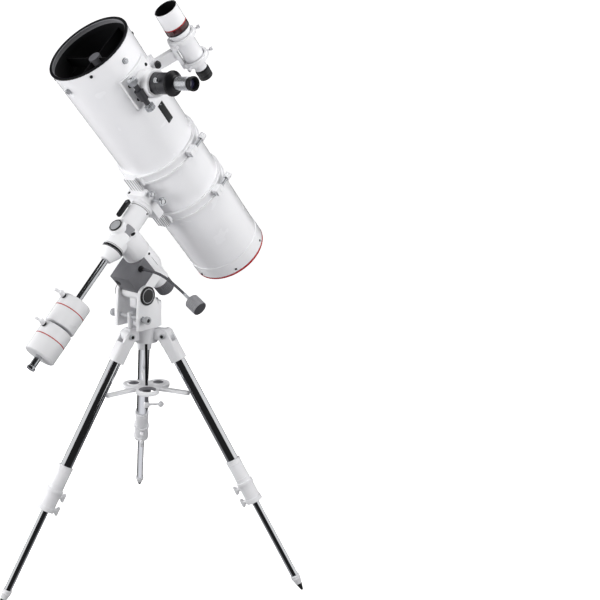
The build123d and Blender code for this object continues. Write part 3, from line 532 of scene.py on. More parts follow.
def grown(tree, shape, finish, places=None, **values):
    """The plain shape that a tree makes of one shape and its named inputs."""
    unit_mesh = bpy.data.meshes.new("unit")
    unit_mesh.from_pydata(shape[0], [], shape[1])
    seed_mesh = bpy.data.meshes.new("seed")
    if places:
        seed_mesh.from_pydata([p for p, _ in places], [], [])
        facing = seed_mesh.attributes.new("facing", "FLOAT_VECTOR", "POINT")
        facing.data.foreach_set("vector", [v for _, way in places for v in way])
    unit = shown("unit", unit_mesh)
    seed = shown("seed", seed_mesh)
    maker = seed.modifiers.new("copies", "NODES")
    maker.node_group = tree
    values = {"Shape": unit, "Finish": finish, **values}
    for socket in tree.interface.items_tree:
        if socket.in_out == "INPUT" and socket.name in values:
            maker[socket.identifier] = values[socket.name]
    ready = seed.evaluated_get(bpy.context.evaluated_depsgraph_get())
    plain = bpy.data.meshes.new_from_object(ready)
    seed.modifiers.remove(maker)
    result = [tuple(v.co) for v in plain.vertices], [list(p.vertices) for p in plain.polygons]
    for spare in (unit, seed):
        bpy.data.objects.remove(spare)
    for spare in (unit_mesh, seed_mesh, plain):
        bpy.data.meshes.remove(spare)
    return result


def ribs(count, radius, low, high, wide, deep, finish):
    """Pointed ribs along Z round a radius, as on a knurled knob."""
    rib = prism(((-0.4, -wide / 2), (deep, -wide * 0.15), (deep, wide * 0.15), (-0.4, wide / 2)), low, high)
    return grown(round_tree, rib, finish, Count=count, Radius=radius)


def socket_screw(r, high):
    """A round screw head with a hexagon socket, on Z from zero."""
    def ring_of(count, radius):
        turns = [radians(360 * i / count) for i in range(count)]
        return [(radius * cos(t), radius * sin(t)) for t in turns]

    hexagon, rim, lip = ring_of(6, 0.48 * r), ring_of(24, r), ring_of(24, 0.86 * r)
    levels = ((rim, 0), (rim, 0.8 * high), (lip, high), (hexagon, high), (hexagon, 0.45 * high))
    points = [(x, y, z) for outline, z in levels for x, y in outline]
    faces = [[*range(24)], [*range(78, 84)]]
    for low in (0, 24):
        faces += [[low + i, low + (i + 1) % 24, low + 24 + (i + 1) % 24, low + 24 + i] for i in range(24)]
    for k in range(6):
        fan = [48 + (4 * k + i) % 24 for i in range(5)]
        faces.append([*fan, 72 + (k + 1) % 6, 72 + k])
        faces.append([72 + k, 72 + (k + 1) % 6, 78 + (k + 1) % 6, 78 + k])
    return shape_of(edit_mesh((points, faces)))


def screws(r, high, places):
    """Dark socket screws at places, each with the way that its head faces."""
    return grown(spread_tree, socket_screw(r, high), black_steel, places)


def wing_screw(high, span, neck_r, thick):
    """A thumb screw with two wings, on Z from zero."""
    side = [(2.0, 0.3 * high), (0.45 * span, 0.55 * high),
            *arc(0.76 * span, 0.8 * high, 0.22 * span, -50, 120, 8),
            (0.32 * span, 0.8 * high), (0.0, 0.62 * high)]
    outline = side + [(-x, y) for x, y in reversed(side[:-1])]
    wings = prism(outline, -thick / 2, thick / 2, 0.24 * thick)
    neck = turned(((0, 0), (0, neck_r), (0.18 * high, neck_r), (0.5 * high, 0.72 * neck_r),
                   (0.68 * high, 0.5 * neck_r), (0.7 * high, 0)), 28, 0.6)
    return merged(upright(wings), neck)


def knurled(r, low, high, count, finish, edge=1.0, dish=0.0):
    """A knurled knob on Z: a turned body with two plain lips and fine ribs between them."""
    deep = 0.9
    span = high - low
    profile = [(low, 0), (low, 0.8 * r), (low + 0.08 * span, r - deep),
               (high - 0.08 * span, r - deep), (high, 0.8 * r)]
    profile += [(high, 0.55 * r), (high - dish, 0.5 * r), (high - dish, 0)] if dish else [(high, 0)]
    knurls = ribs(count, r - deep, low + 0.1 * span, high - 0.1 * span, 4.6 * r / count, deep, finish)
    return merged(turned(profile, 48, edge), knurls)


finishes = {
    white_powder: ("focuser_body", "cone_nut", "dovetail_bar"),
    dark_satin_paint_and_shade_lines: ("pinion_block",),
    chrome: tuple(f"leg_{leg}_{part}" for leg in LEG_ANGLES for part in ("tube", "lower_tube")),
    black_steel: ("ra_shaft_and_wheel",),
    brass: ("ra_worm",),
    mirror_glass: ("primary_mirror", "diagonal_mirror"),
}
for material, names in finishes.items():
    for name in names:
        nodes[name].data.materials.clear()
        nodes[name].data.materials.append(material)

# Castings: the solids' own shapes with their outer edges rounded
for node, body, slot, material, edge in (
        ("saddle", "telescope", "white_casting", white_powder, 1.6),
        ("azimuth_base", "azimuth_base", "light_grey_paint", white_powder, 1.6),
        ("tripod_hub", "tripod_hub", "light_grey_paint", grey_powder, 1.6),
        ("spreader_tray", "spreader", "tray_paint", white_powder, 1.4),
        ("ra_housing", "ra_housing", "white_casting", white_powder, 1.4),
        ("worm_cover", "ra_housing", "dark_grey_paint", dark_powder, 2.0),
        *[(f"leg_{leg}_casting", f"leg_{leg}", "light_grey_paint", grey_powder, 1.8) for leg in LEG_ANGLES]):
    name = node.replace("_casting", "_hinge") + "_casting"
    piece(name, body, slot, (material, softened(cad(node), edge)), replaces=[node])


def round_tube(x, angle, r):
    """A place on the tube, and the way out of it, from its station and the angle round its axis."""
    way = Vector((0, cos(radians(angle)), sin(radians(angle))))
    return Vector((x, 0, 0)) + way * r, way


# Optical tube: white outside, flat black inside, with baffle ribs behind and before the focuser
tube_inside, tube_outside = parted(cad("optical_tube"), TUBE, lambda p: p.yz.length < 115.2)
baffle = laid(turned(((0, 114.6), (0, 111.2), (1.2, 111.2), (1.6, 114.6)), 96), "x")
baffles = [grown(straight_tree, laid(baffle, "z", (first, 0, 0)), flat_black, Count=count, Step=(30, 0, 0))
           for first, count in ((-290, 19), (364, 1))]
piece("optical_tube_skin", "telescope", "white_enamel", (white_enamel, tube_outside),
      (flat_black, tube_inside, put(TUBE, *baffles)), replaces=["optical_tube"])

# Spider: a dark grey holder on flat black vanes
holder_core, vanes = parted(cad("spider_and_holder"), TUBE, lambda p: p.yz.length < 34)
piece("spider_vanes_and_holder", "telescope", "black_anodised", (flat_black, vanes),
      (dark_powder, holder_core), replaces=["spider_and_holder"])

# Front rim: a rolled black lip, two grey rings inside it as a painted highlight where the rim's inner band
# catches light, and a black band deeper in the tube
rim = turned(((437, 111.6), (437, 117.2), (440, 117.2), (440, 109.4), (437.4, 109.4), (437.4, 111.6)),
             128, 1.1)
# Both grey rings inside the rim are a painted highlight
rim_highlight_band = turned(((424, 111.4), (424, 114.4), (437.2, 114.4), (437.2, 110.2), (434, 110.2),
                     (431, 111.4)), 128, 0.5)
mouth_highlight_ring = cylinder(435.6, 437.6, 110.4, 128, 0.4, bore=108.2)
deep_band = cylinder(410, 424, 114.4, 128, 0.5, bore=111.6)
piece("front_rim_lip", "telescope", "black_anodised", (black_anodised, on_tube(rim)),
      (grey_plastic_and_painted_highlight, on_tube(rim_highlight_band)), (flat_black, on_tube(deep_band)),
      (grey_shade_and_highlight_paint, on_tube(mouth_highlight_ring)), replaces=["front_rim"])

# Tube trim: screws of the front band and cell, nuts of the vanes, a bare plate and the tail stripe
band_screws = screws(4.2, 2.6, [round_tube(x, turn, TUBE_SKIN)
                                for x, turn in ((425, -50), (410, 47), (415, 130), (415, 230))])
cell_screws = screws(3.6, 2.0, [round_tube(-362, -40.5 + 60 * step, 117.8) for step in range(6)])
nut = merged(turned(((0, 0), (0, 8), (1.5, 8), (1.5, 6.4), (7, 6.4), (8, 5.2), (8, 0)), 32, 0.5),
             ribs(22, 6.3, 2, 7, 1.3, 0.7, steel))
vane_nuts = grown(spread_tree, nut, steel, [round_tube(402, 90 * step - 4, TUBE_SKIN) for step in range(4)])
bare_plate = panel([tuple(round_tube(x, turn, r)[0])
                    for r in (115.9, 117.1) for x in (179, 240) for turn in range(-1, 11)], 12, 0.4)
plate_rivets = grown(spread_tree, turned(((0, 0), (0, 1.6), (0.6, 1.3), (0.9, 0)), 14), steel,
                     [round_tube(x, 4.5, 117.0) for x in (182.5, 236.5)])
tail_stripe = cylinder(-380.0, -372.0, 118.1, 128, bore=117.8)
piece("tube_trim", "telescope", "black_anodised",
      (black_anodised, put(TUBE, bare_plate)), (black_steel, put(TUBE, band_screws, cell_screws)),
      (steel, put(TUBE, vane_nuts, plate_rivets)), (red_trim, on_tube(tail_stripe)))

# Mirror cell: white ring, dark support behind the mirror, and knurled collimation knobs on the back
supports, cell_ring = parted(cad("mirror_cell"), TUBE,
                             lambda p: p.yz.length < 92 and (p.x > -365.9 or p.x < -380.2))
stud = flipped(laid(knurled(8.0, 0, 5.9, 30, steel, 0.6, 1.5), "x"), (-1, 1, 1))
studs = [laid(stud, "z", (-380.05, 80 * sin(radians(-turn)), 80 * cos(radians(turn))))
         for step in range(3) for turn in (120 * step - 9, 120 * step + 9)]
piece("mirror_cell_casting", "telescope", "white_casting", (white_enamel, cell_ring),
      (black_anodised, supports), (steel, put(TUBE, *studs)), replaces=["mirror_cell"])


def felt_lining(at, first):
    """Half of a tube ring's felt lining, which shows at the ring's edges."""
    felt = ((at - 14.9, 115.9), (at - 14.9, 117.9), (at + 14.9, 117.9), (at + 14.9, 115.9))
    return turned(felt, 72, 0.0, first, 179)


# Tube rings with felt linings and clamp knobs
piece("ring_lower_castings", "telescope", "white_casting",
      (white_powder, *[softened(half, 0.9) for half in cad_parts("ring_lower_halves")]),
      (grey_felt, on_tube(*[felt_lining(at, 180.5) for at in RINGS.values()])),
      replaces=["ring_lower_halves"])
clamp_knob = merged(knurled(10, 44, 62, 36, steel, 1.2, 2.0),
                    turned(((14, 0), (14, 6), (40, 6), (44, 7.5), (44, 0)), 32, 0.8),
                    cylinder(-20, -14, 5.2, 6, 0.4))
for side, at in RINGS.items():
    ring_half, *_ = cad_parts(f"ring_{side}_upper_half")
    piece(f"ring_{side}_upper_casting", f"ring_{side}_upper", "white_casting",
          (white_powder, softened(ring_half, 0.9)), (grey_felt, on_tube(felt_lining(at, 0.5))),
          (steel, put(TUBE, laid(clamp_knob, "z", (at, 133, 0)))), replaces=[f"ring_{side}_upper_half"])

# Focuser: screws in the corners of its flange, a deep collar with a gap for the rack,
# and knurled focus knobs on their shaft
flange_screws = screws(4.6, 3.0, [round_tube(x, turn, 122.6) for x in (302, 347) for turn in (-18.4, 18.4)])
collar = turned(((144, 30), (144, 37.2), (150, 37.2), (152, 35.6), (166, 35.6), (167.2, 34.4),
                 (167.2, 30)), 72, 0.6)
collar_guide = turned(((152.2, 28), (152.2, 30.3), (166.8, 30.3), (166.8, 28)), 72, 0.0, 191, 338)
piece("focuser_trim", "telescope", "white_casting", (white_powder, on_focuser(collar, collar_guide)),
      (black_steel, put(TUBE, flange_screws)))
knob = merged(knurled(13, 36, 51, 44, steel, 1.0, 2.2), cylinder(32.6, 36, 7, 32, 0.6))
pinion_shaft = merged(cylinder(-44, 44, 3, 24, 0.3), cylinder(-9, 9, 7.6, 32, 0.5),
                      ribs(18, 7.6, -9, 9, 2.0, 1.4, brass))
shaft_at = (FOCUSER_AT[0], 141, -40)
shaft_parts = [laid(part, "x", shaft_at) for part in (knob, flipped(knob, (1, -1, -1)), pinion_shaft)]
piece("focus_knobs_turned", "focus_knobs", "steel", (steel, put(TUBE, *shaft_parts)),
      replaces=["focus_knobs"])

# Draw tube with its rack, and the eyepiece holder with a ribbed flange and a lock screw
draw = cylinder(88, 158, 25, 72, 0.4, bore=23)
holder = turned(((206, 16.1), (206, 23), (158, 23), (158, 26), (159.5, 27), (186, 27), (187, 26.4),
                 (189, 26.4), (190, 27), (215, 27), (216, 16.1), (206.2, 16.1)), 72, 0.6)
nose = turned(((215, 16.1), (215, 27), (218, 28), (218.6, 31), (220, 31.6), (226.6, 31.6), (228, 30.8),
               (236, 20.6), (240, 18), (240, 16.1), (215.2, 16.1)), 72, 0.7)
nose_ribs = ribs(48, 31.5, 220.4, 226.2, 2.6, 0.5, black_anodised)
rack_teeth = grown(straight_tree, block(316, 324, 88, 89.6, -29.4, -25, 0.2), steel,
                   Count=20, Step=(0, 3.2, 0))
rack_bar = block(316, 324, 88, 152, -25.4, -24, 0.2)
lock = merged(cylinder(26, 33, 4, 24), knurled(6.5, 33, 41, 26, steel, 0.6, 1.2))
lock_place = TUBE @ Matrix.Translation(FOCUSER_AT) @ Matrix.Rotation(radians(35), 4, "Y")
piece("drawtube_turned", "drawtube", "dark_grey_paint", (black_chrome, on_focuser(draw)),
      (steel, put(TUBE, rack_teeth, rack_bar)), (dark_satin_paint_and_shade_lines, on_focuser(holder)),
      (black_anodised, on_focuser(nose, nose_ribs)),
      (chrome, put(lock_place, laid(lock, "x", (0, 200, 0)))), replaces=["drawtube_and_holder"])

# Eyepiece: chrome barrel, smooth steel band, black body, rubber eyecup and eye lens
barrel = cylinder(210, 240.4, 15.9, 56, 0.5, bore=13)
band = turned(((240.4, 13), (240.4, 16), (241.6, 17), (280, 17), (281, 16.4), (281, 13)), 64, 0.6)
eye_body = turned(((281, 13), (281, 16.6), (282, 17), (285, 17), (286.4, 16.2), (287, 16.2), (287, 13)),
                  64, 0.4)
eyecup = turned(((286.4, 13), (286.4, 16.4), (289, 18.4), (295, 18.4), (297, 17.6), (297, 15.6),
                 (291, 13.6), (286.6, 13)), 64, 0.8)
cup_ribs = ribs(40, 18.2, 289.5, 294.5, 1.6, 0.3, rubber)
eye_lens = turned(((279, 0), (279, 13), (283, 13), (284.4, 7), (285, 0)), 48, 0.3)
piece("eyepiece_turned", "eyepiece", "black_plastic", (chrome, on_focuser(barrel)),
      (steel, on_focuser(band)), (black_anodised, on_focuser(eye_body)),
      (rubber, on_focuser(eyecup, cup_ribs)), (lens_glass, on_focuser(eye_lens)), replaces=["eyepiece"])


def inside_finder(p):
    """Whether a place on the finder's tube belongs to its bore, which widens towards the front."""
    bore = 30.2 if p.x > 361 else 16 if p.x < 262 else 26
    return (p - Vector((p.x, *FINDER_AT[1:]))).length < bore


# Finder: white tube black inside, dark red band between a black and a red line, lenses and eyepiece
finder_inside, finder_outside = parted(cad("finder_tube"), FINDER, inside_finder)
black_line = cylinder(358, 362.5, 32.25, 72, 0.3, bore=30)
dark_band = cylinder(362.5, 375, 32.2, 72, 0.3, bore=30)
red_line = cylinder(375, 378, 32.35, 72, 0.3, bore=30)
shield_lip = cylinder(421, 424, 32.4, 72, 0.6, bore=30.2)
piece("finder_tube_skin", "telescope", "white_enamel",
      (white_enamel, finder_outside, on_finder(shield_lip)), (flat_black, finder_inside),
      (dark_red, on_finder(dark_band)), (black_anodised, on_finder(black_line)),
      (red_trim, on_finder(red_line)), replaces=["finder_tube"])
objective = turned(((363, 0), (363, 29.9), (367, 29.9), (369, 20), (369.8, 8), (370, 0)), 64, 0.3)
ocular = turned(((195, 0), (195, 9), (196.5, 11), (196, 17), (197, 18.6), (199, 19), (207, 19), (208, 18),
                 (211, 18), (212, 19), (224, 19), (226, 17.5), (236, 15), (236, 0)), 64, 0.5)
ocular_ribs = ribs(40, 18.8, 213, 223, 1.8, 0.5, black_plastic)
ocular_glass = turned(((195.6, 0), (196.6, 10), (198, 10.5), (198, 0)), 48, 0.2)
piece("finder_lenses", "telescope", "black_plastic", (lens_glass, on_finder(objective, ocular_glass)),
      (black_plastic, on_finder(ocular, ocular_ribs)), replaces=["finder_optics"])

# Finder's bracket with six adjusting screws and the thumb screw of its shoe
bracket, *_ = cad_parts("finder_bracket")
finder_screw = merged(cylinder(27, 44, 2.5, 20, 0.3), knurled(5.2, 44, 52, 24, chrome, 0.6, 1.0),
                      cylinder(37, 39.5, 4.4, 6, 0.3))
finder_screws = [put(FINDER @ Matrix.Translation((at, *FINDER_AT[1:]))
                     @ Matrix.Rotation(radians(120 * step), 4, "X"), finder_screw)
                 for at in (335, 262) for step in range(3)]
shoe_screw = merged(cylinder(8, 20, 4, 20), knurled(8.5, 18, 32, 26, black_plastic, 0.8, 1.6))
piece("finder_bracket_casting", "telescope", "white_casting", (white_powder, softened(bracket, 1.0)),
      (grey_powder, *finder_screws), (black_plastic, put(FINDER, laid(shoe_screw, "y", (312, 0, 131)))),
      replaces=["finder_bracket"])

# Saddle knobs, a socket screw in the saddle's end, and dark strips along the dovetail bar as painted shade
# at its edges
big_knob = merged(knurled(12, 62, 77, 40, chrome, 1.0, 2.5),
                  turned(((34, 0), (34, 4.6), (58, 4.6), (62, 8), (62, 0)), 28, 0.6))
small_knob = merged(knurled(9, 45, 55, 32, chrome, 0.8, 1.6), cylinder(34, 45, 4, 28, 0.4))
end_screw = screws(4.0, 1.0, [(Vector((47.7, -23, 109)), Vector((1, 0, 0)))])
bar_ends = ((-105, -49), (49, 93))
# Thin dark strips along the bar: painted shade
bar_shade_lines = [block(low, high, side * y - 0.5, side * y + 0.5, z - 0.9, z + 0.9, 0.2)
             for low, high in bar_ends for side in (1, -1) for y, z in ((21.1, 121.2), (19.4, 126.8))]
bar_shade_lines += [block(low, high, y - 0.9, y + 0.9, 117.5, 118.2, 0.2)
              for low, high in bar_ends for y in (6, -6, 17, -17)]
piece("saddle_knobs", "telescope", "chrome",
      (chrome, put(HEAD, laid(big_knob, "y", (8, 0, 123)), laid(small_knob, "y", (36, 0, 123)))),
      (black_steel, put(HEAD, end_screw)), (dark_satin_paint_and_shade_lines, put(HEAD, *bar_shade_lines)), replaces=["saddle_screws"])

# Declination housing: white casting, a grey panel as painted shade in its recess, a boss whose hole is a
# black disc of painted shade, a lock screw and two seams
# A thin grey sheet where the housing's recess falls in shade: painted shade
recess_shade_panel = panel([(x, sqrt(r * r - x * x), z) for r in (30.3, 31.3) for z in (-4.5, 22.5)
                for x in range(-8, 25, 2)], 17, 0.5)
on_boss = along(HEAD, "x", (0, 38, 5.2))
boss = turned(((-4, 0), (-4, 9), (3.4, 9), (3.4, 7.6), (1.6, 7.4), (1.6, 0)), 40, 0.5)
# A flat black disc in the boss's shallow recess: painted shade of a deep hole
hole_shade_disc = cylinder(1.5, 2.4, 7.5, 36)
housing_screw = screws(2.8, 1.4, [(Vector((-3.6, 30.7, 82)), Vector((-0.12, 0.99, 0)))])
seams = [cylinder(low, high, 31.25, 96, bore=30.6) for low, high in ((86.5, 88), (-50, -49))]
piece("dec_housing_casting", "dec_housing", "white_casting",
      (white_powder, softened(cad("dec_housing"), 1.6), on_boss(boss)),
      (grey_shade_and_highlight_paint, put(HEAD, recess_shade_panel)), (flat_black, on_boss(hole_shade_disc)), (black_steel, put(HEAD, housing_screw)),
      (black_anodised, put(HEAD, *seams)), replaces=["dec_housing"])
sight = turned(((38, 0), (38, 19), (42.5, 19), (42.5, 16.8), (41.4, 16.4), (41.4, 0)), 64, 0.5)
sight_face = turned(((41.4, 0), (41.4, 16.0), (42.0, 15.8), (42.2, 0)), 64)
piece("polar_sight_cover", "dec_housing", "black_anodised", (black_plastic, on_polar(sight)),
      (grey_metal, on_polar(sight_face)), replaces=["polar_sight_cap"])

# Clutch lever: a tapered paddle on a domed hub
on_lever = along(HEAD, "x", (0, -14, 80))
paddle = prism([*arc(-14, 80, 9.5, 20, 160, 10), *arc(-14, 38, 8.5, 190, 350, 10)], 36.6, 45, 1.8, 3)
hub = turned(((20, 0), (20, 3), (36.4, 3), (36.4, 8), (44.6, 8), (45.4, 6), (45.4, 0)), 40, 0.8)
hub_cap = turned(((45.3, 0), (45.3, 4), (46, 3.6), (46, 0)), 6)
piece("dec_lever_paddle", "dec_clutch_lever", "black_plastic",
      (black_plastic, on_polar(paddle), on_lever(hub)), (steel, on_lever(hub_cap)),
      replaces=["dec_clutch_lever"])

# Setting circle with its degree marks, and the counterweight bar with its toe stop
circle = turned(((-62, 0), (-62, 30.4), (-61, 31.2), (-53, 31.2), (-52, 30.4), (-52, 0)), 96, 0.4)
marks = [grown(round_tree, block(-0.3, 0.06, -wide / 2, wide / 2, -60.6, end, 0.04), grey_metal,
               Count=count, Radius=31.2) for wide, end, count in ((0.4, -56.6, 36), (0.3, -58.8, 180))]
piece("dec_circle_marked", "dec_housing", "black_anodised", (black_anodised, put(HEAD, circle)),
      (grey_metal, put(HEAD, *marks)), replaces=["dec_setting_circle"])
bar = turned(((-457, 0), (-457, 12), (-449, 12), (-449, 9.5), (-446, 9), (-444, 9.5), (-70, 9.5), (-70, 0)),
             56, 1.2)
piece("counterweight_bar_turned", "dec_housing", "chrome", (ground_steel, put(HEAD, bar)),
      replaces=["counterweight_bar"])

# Counterweights with a red line, each with a wing screw
stem = cylinder(10, 48, 5, 32, 0.6)
screw_collar = cylinder(46, 52, 7.4, 36, 0.8)
weight_wing = laid(wing_screw(23, 17, 7.5, 8), "z", (0, 0, 51.9))
for name, low, high in WEIGHTS:
    weight = turned(((low + 20, 9.56), (low, 9.56), (low, 44), (high, 44), (high, 9.56), (low + 20.2, 9.56)),
                    96, 4.5)
    stripe = cylinder(high - 38.2, high - 35.4, 44.12, 96, bore=43.6)
    body = f"counterweight_{name}"
    # The weights' greyed enamel is painted shade
    piece(f"{body}_cast", body, "white_enamel", (shaded_white_enamel, put(HEAD, weight)),
          (red_trim, put(HEAD, stripe)), replaces=[body])
    on_screw = along(HEAD, "x", (0, 0, high - 14))
    piece(f"{body}_wing_screw", body, "chrome", (chrome, on_screw(stem)),
          (grey_powder, on_screw(weight_wing)), (black_plastic, on_screw(screw_collar)),
          replaces=[f"{body}_screw"])

# Polar housing: a lock screw and a slot on its barrel, a bush and a black disc as painted shade of an
# opening on the worm cover, ribbed cap
lock_way = Vector((0, sin(radians(82)), cos(radians(82))))
barrel_lock = screws(3.6, 2.0, [(Vector((-83, 0, 0)) + lock_way * 39.6, lock_way)])
slot_points = [(x, r * sin(radians(turn)), r * cos(radians(turn)))
               for r in (39.4, 40.15) for x in (-136, -98) for turn in (82, 83.2)]
slot_faces = [[0, 1, 3, 2], [4, 6, 7, 5], [0, 2, 6, 4], [1, 5, 7, 3], [0, 4, 5, 1], [2, 3, 7, 6]]
barrel_slot = shape_of(edit_mesh((slot_points, slot_faces)))
cable_bush = laid(turned(((38, 4.4), (38, 9.5), (40, 9.5), (41, 8.6), (42, 6.4), (49, 5.8), (50, 5.2),
                          (50, 4.4)), 40, 0.4), "y", (CABLE_START[0], 0, CABLE_START[2]))
# A black disc on the cover's face: painted shade of an opening
hole_shade_place = HEAD @ Matrix.Translation((-104, -26, -95)) @ Matrix.Rotation(pi, 4, "X")
piece("worm_cover_trim", "ra_housing", "black_steel", (black_steel, put(HEAD, barrel_lock)),
      (rubber, put(hole_shade_place, cylinder(-1, 0.8, 10, 32, 0.3))),
      (black_anodised, put(HEAD, cable_bush, barrel_slot)))
cap = merged(turned(((-250, 0), (-250, 24), (-248, 26.2), (-207, 26.2), (-205, 26.2), (-205, 0)), 72, 1.2),
             ribs(36, 26.1, -246, -209, 3.0, 0.9, black_plastic))
piece("polar_cap_ribbed", "ra_housing", "dark_grey_paint", (dark_powder, on_polar(cap)),
      replaces=["polar_cap"])

# Latitude pin with its two ringed caps
badge = turned(((50.4, 0), (50.4, 27), (54.5, 27), (55.4, 26), (55.4, 22), (54.7, 21.4), (54.7, 19),
                (55.2, 18.4), (55.2, 0)), 72, 0.4)
badge_ring = turned(((54.4, 19.2), (54.4, 21.2), (55.3, 21), (55.3, 19.4)), 72, 0.2)
pin = laid(cylinder(-50, 50, 9, 40), "y", LATITUDE_PIN)
piece("latitude_pin_caps", "azimuth_base", "black_plastic",
      (black_plastic, put(WORLD, pin), both_sides(LATITUDE_PIN, badge)),
      (grey_metal, both_sides(LATITUDE_PIN, badge_ring)), replaces=["latitude_pin"])

# Azimuth screws with thin nuts, and latitude screw with its cross bar
push = merged(cylinder(8.4, 64, 5, 32, 0.6), knurled(11.5, 63.5, 75.5, 38, steel, 1.0, 2.0))
push_face = turned(((73, 0), (73, 5.6), (74, 5.4), (74.2, 0)), 32)
thin_nut = cylinder(50.5, 52.3, 9, 6, 0.3, bore=5.1)
piece("azimuth_screws_turned", "azimuth_screws", "steel", (grey_metal, both_sides(AZIMUTH_SCREWS, push)),
      (black_plastic, both_sides(AZIMUTH_SCREWS, push_face)), replaces=["azimuth_screws"])
piece("azimuth_lock_nuts", "azimuth_base", "steel", (steel, both_sides(AZIMUTH_SCREWS, thin_nut)))
tilt_stem = turned(((-34.1, 0), (-34.1, 3), (-26.1, 3), (-26.1, 5), (34, 5), (34, 8), (46, 8), (46, 0)),
                   36, 0.5)
cross_bar = turned(((-20, 0), (-20, 4.4), (-14, 4.4), (-12, 3.4), (12, 3.4), (14, 4.4), (20, 4.4), (20, 0)),
                   28, 1.2)
piece("latitude_screw_turned", "latitude_screw", "steel",
      (steel, put(WORLD, laid(tilt_stem, "x", (0, 0, LATITUDE_SCREW_HEIGHT)),
                  laid(cross_bar, "y", (40, 0, LATITUDE_SCREW_HEIGHT)))), replaces=["latitude_screw"])

# Slow-motion knob: a finely grooved grey grip with a dark end, and a steel sleeve where the cable enters
knob_way = (route[-1] - route[-2]).normalized()
knob_place = Matrix.Translation(route[-1]) @ knob_way.to_track_quat("Z", "Y").to_matrix().to_4x4()
grooves = [(at + shift, r) for at in (8, 14, 20, 26, 32)
           for shift, r in ((0, 20.6), (0.5, 20.1), (1.5, 20.1), (2, 20.6))]
grip = turned([(0, 0), (0, 12), (2, 18), (5, 20.4), *grooves, (37, 20.8), (40, 20.2), (40, 0)], 64, 0.5)
grip_end = turned(((39, 0), (39, 19.6), (40.6, 19.9), (42, 18.6), (41.4, 16.5), (41.2, 0)), 64, 0.6)
sleeve = turned(((-26, 4.1), (-26, 4.7), (-2, 4.9), (0.4, 6), (0.4, 4.1)), 28, 0.3)
knob_piece = piece("slow_motion_grip", "slow_motion_knob", "black_plastic",
                   (grey_plastic_and_painted_highlight, put(knob_place, grip)), (dark_satin_paint_and_shade_lines, put(knob_place, grip_end)),
                   (steel, put(knob_place, sleeve)), replaces=["slow_motion_knob"])
line.materials.append(sheath_vinyl)
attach(cable, "ra_housing")
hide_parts("slow_motion_cable")

# Legs: lipped clamps with two thumb screws each, and collared feet with dark spikes
thumb = prism([(4.5, 2), (10, 4), *arc(9, 9.5, 4.5, -50, 78, 7), *arc(-9, 9.5, 4.5, 102, 230, 7),
               (-10, 4), (-4.5, 2)], -3.4, 3.4, 1.3)
wing = merged(turned(((-3, 0), (-3, 3.5), (-0.3, 3.5), (-0.3, 6.6), (0.6, 6.6), (4, 5.2), (4, 0)), 28, 0.4),
              upright(thumb))
inwards = Matrix.Rotation(radians(90), 4, "X") @ Matrix.Rotation(radians(90), 4, "Z")
lips = [cylinder(low, low + 2.5, 22.6, 56, 0.6, bore=21.2) for low in (409, 420, 466)]
foot = turned(((785, 11.1), (785, 13.2), (786.5, 14), (790.5, 14), (791.5, 12.9), (793.5, 12.9), (794.5, 14),
               (797, 14), (798, 12.6), (812, 9.4), (812, 2), (790, 2), (790, 11.1)), 56, 0.5)
spike_tip = [(829.5 + 4 * sin(radians(t)), 4 * cos(radians(t))) for t in (0, 25, 50, 75)]
spike = turned([(811, 0), (811, 8.8), (813, 8.9), (826, 5.2), *spike_tip, (833.5, 0)], 40)
for leg, angle in LEG_ANGLES.items():
    place = leg_frame(angle)
    _, clamp = parted(cad_parts(f"leg_{leg}_clamp")[0], place, lambda p: p.y < -29.9)
    wings = [put(place @ Matrix.Translation((0, -30, at)) @ inwards, wing) for at in (496, 536.5)]
    piece(f"leg_{leg}_clamp_casting", f"leg_{leg}", "light_grey_paint",
          (grey_powder, softened(clamp, 0.9), put(place, *lips), *wings), replaces=[f"leg_{leg}_clamp"])
    piece(f"leg_{leg}_spike_foot", f"leg_{leg}_extension", "light_grey_paint",
          (grey_powder, put(place, foot)), (rubber, put(place, spike)), replaces=[f"leg_{leg}_foot"])

# Centre rod of the tripod, and the hinge bolts with black discs on their ends as painted shade in their
# sockets
rod, *hinge_bolts = sorted(cad_parts("tripod_rod_and_bolts"),
                           key=lambda shape: min(point[2] for point in shape[0]))
# Flat black discs on the bolt ends: painted shade of their sockets
socket = laid(turned(((-1, 0), (-1, 5.2), (0.35, 5.0), (0.35, 0)), 24), "x")
sockets = [put(leg_frame(angle), laid(part, "z", (side * 26.9, 0, 0))) for angle in LEG_ANGLES.values()
           for side, part in ((1, socket), (-1, flipped(socket, (-1, 1, -1))))]
piece("tripod_rod_and_hinge_bolts", "tripod_hub", "black_steel", (black_steel, rod),
      (grey_metal, *[softened(bolt, 0.8) for bolt in hinge_bolts]), (rubber, *sockets),
      replaces=["tripod_rod_and_bolts"])

# Spreader tray: rims and liners of its holes
rims, liners = [], []
for r, turn in TRAY_HOLES:
    hole_at = (TRAY_HOLE_CIRCLE * cos(radians(turn)), TRAY_HOLE_CIRCLE * sin(radians(turn)), 0)
    rims.append(laid(cylinder(549, 552, r + 3.2, 64, 0.7, bore=r), "z", hole_at))
    liners.append(laid(cylinder(540.3, 551, r - 0.1, 64, bore=r - 0.3), "z", hole_at))
piece("spreader_tray_rims", "spreader", "tray_paint", (white_powder, put(WORLD, *rims)),
      (grey_plastic_and_painted_highlight, put(WORLD, *liners)))

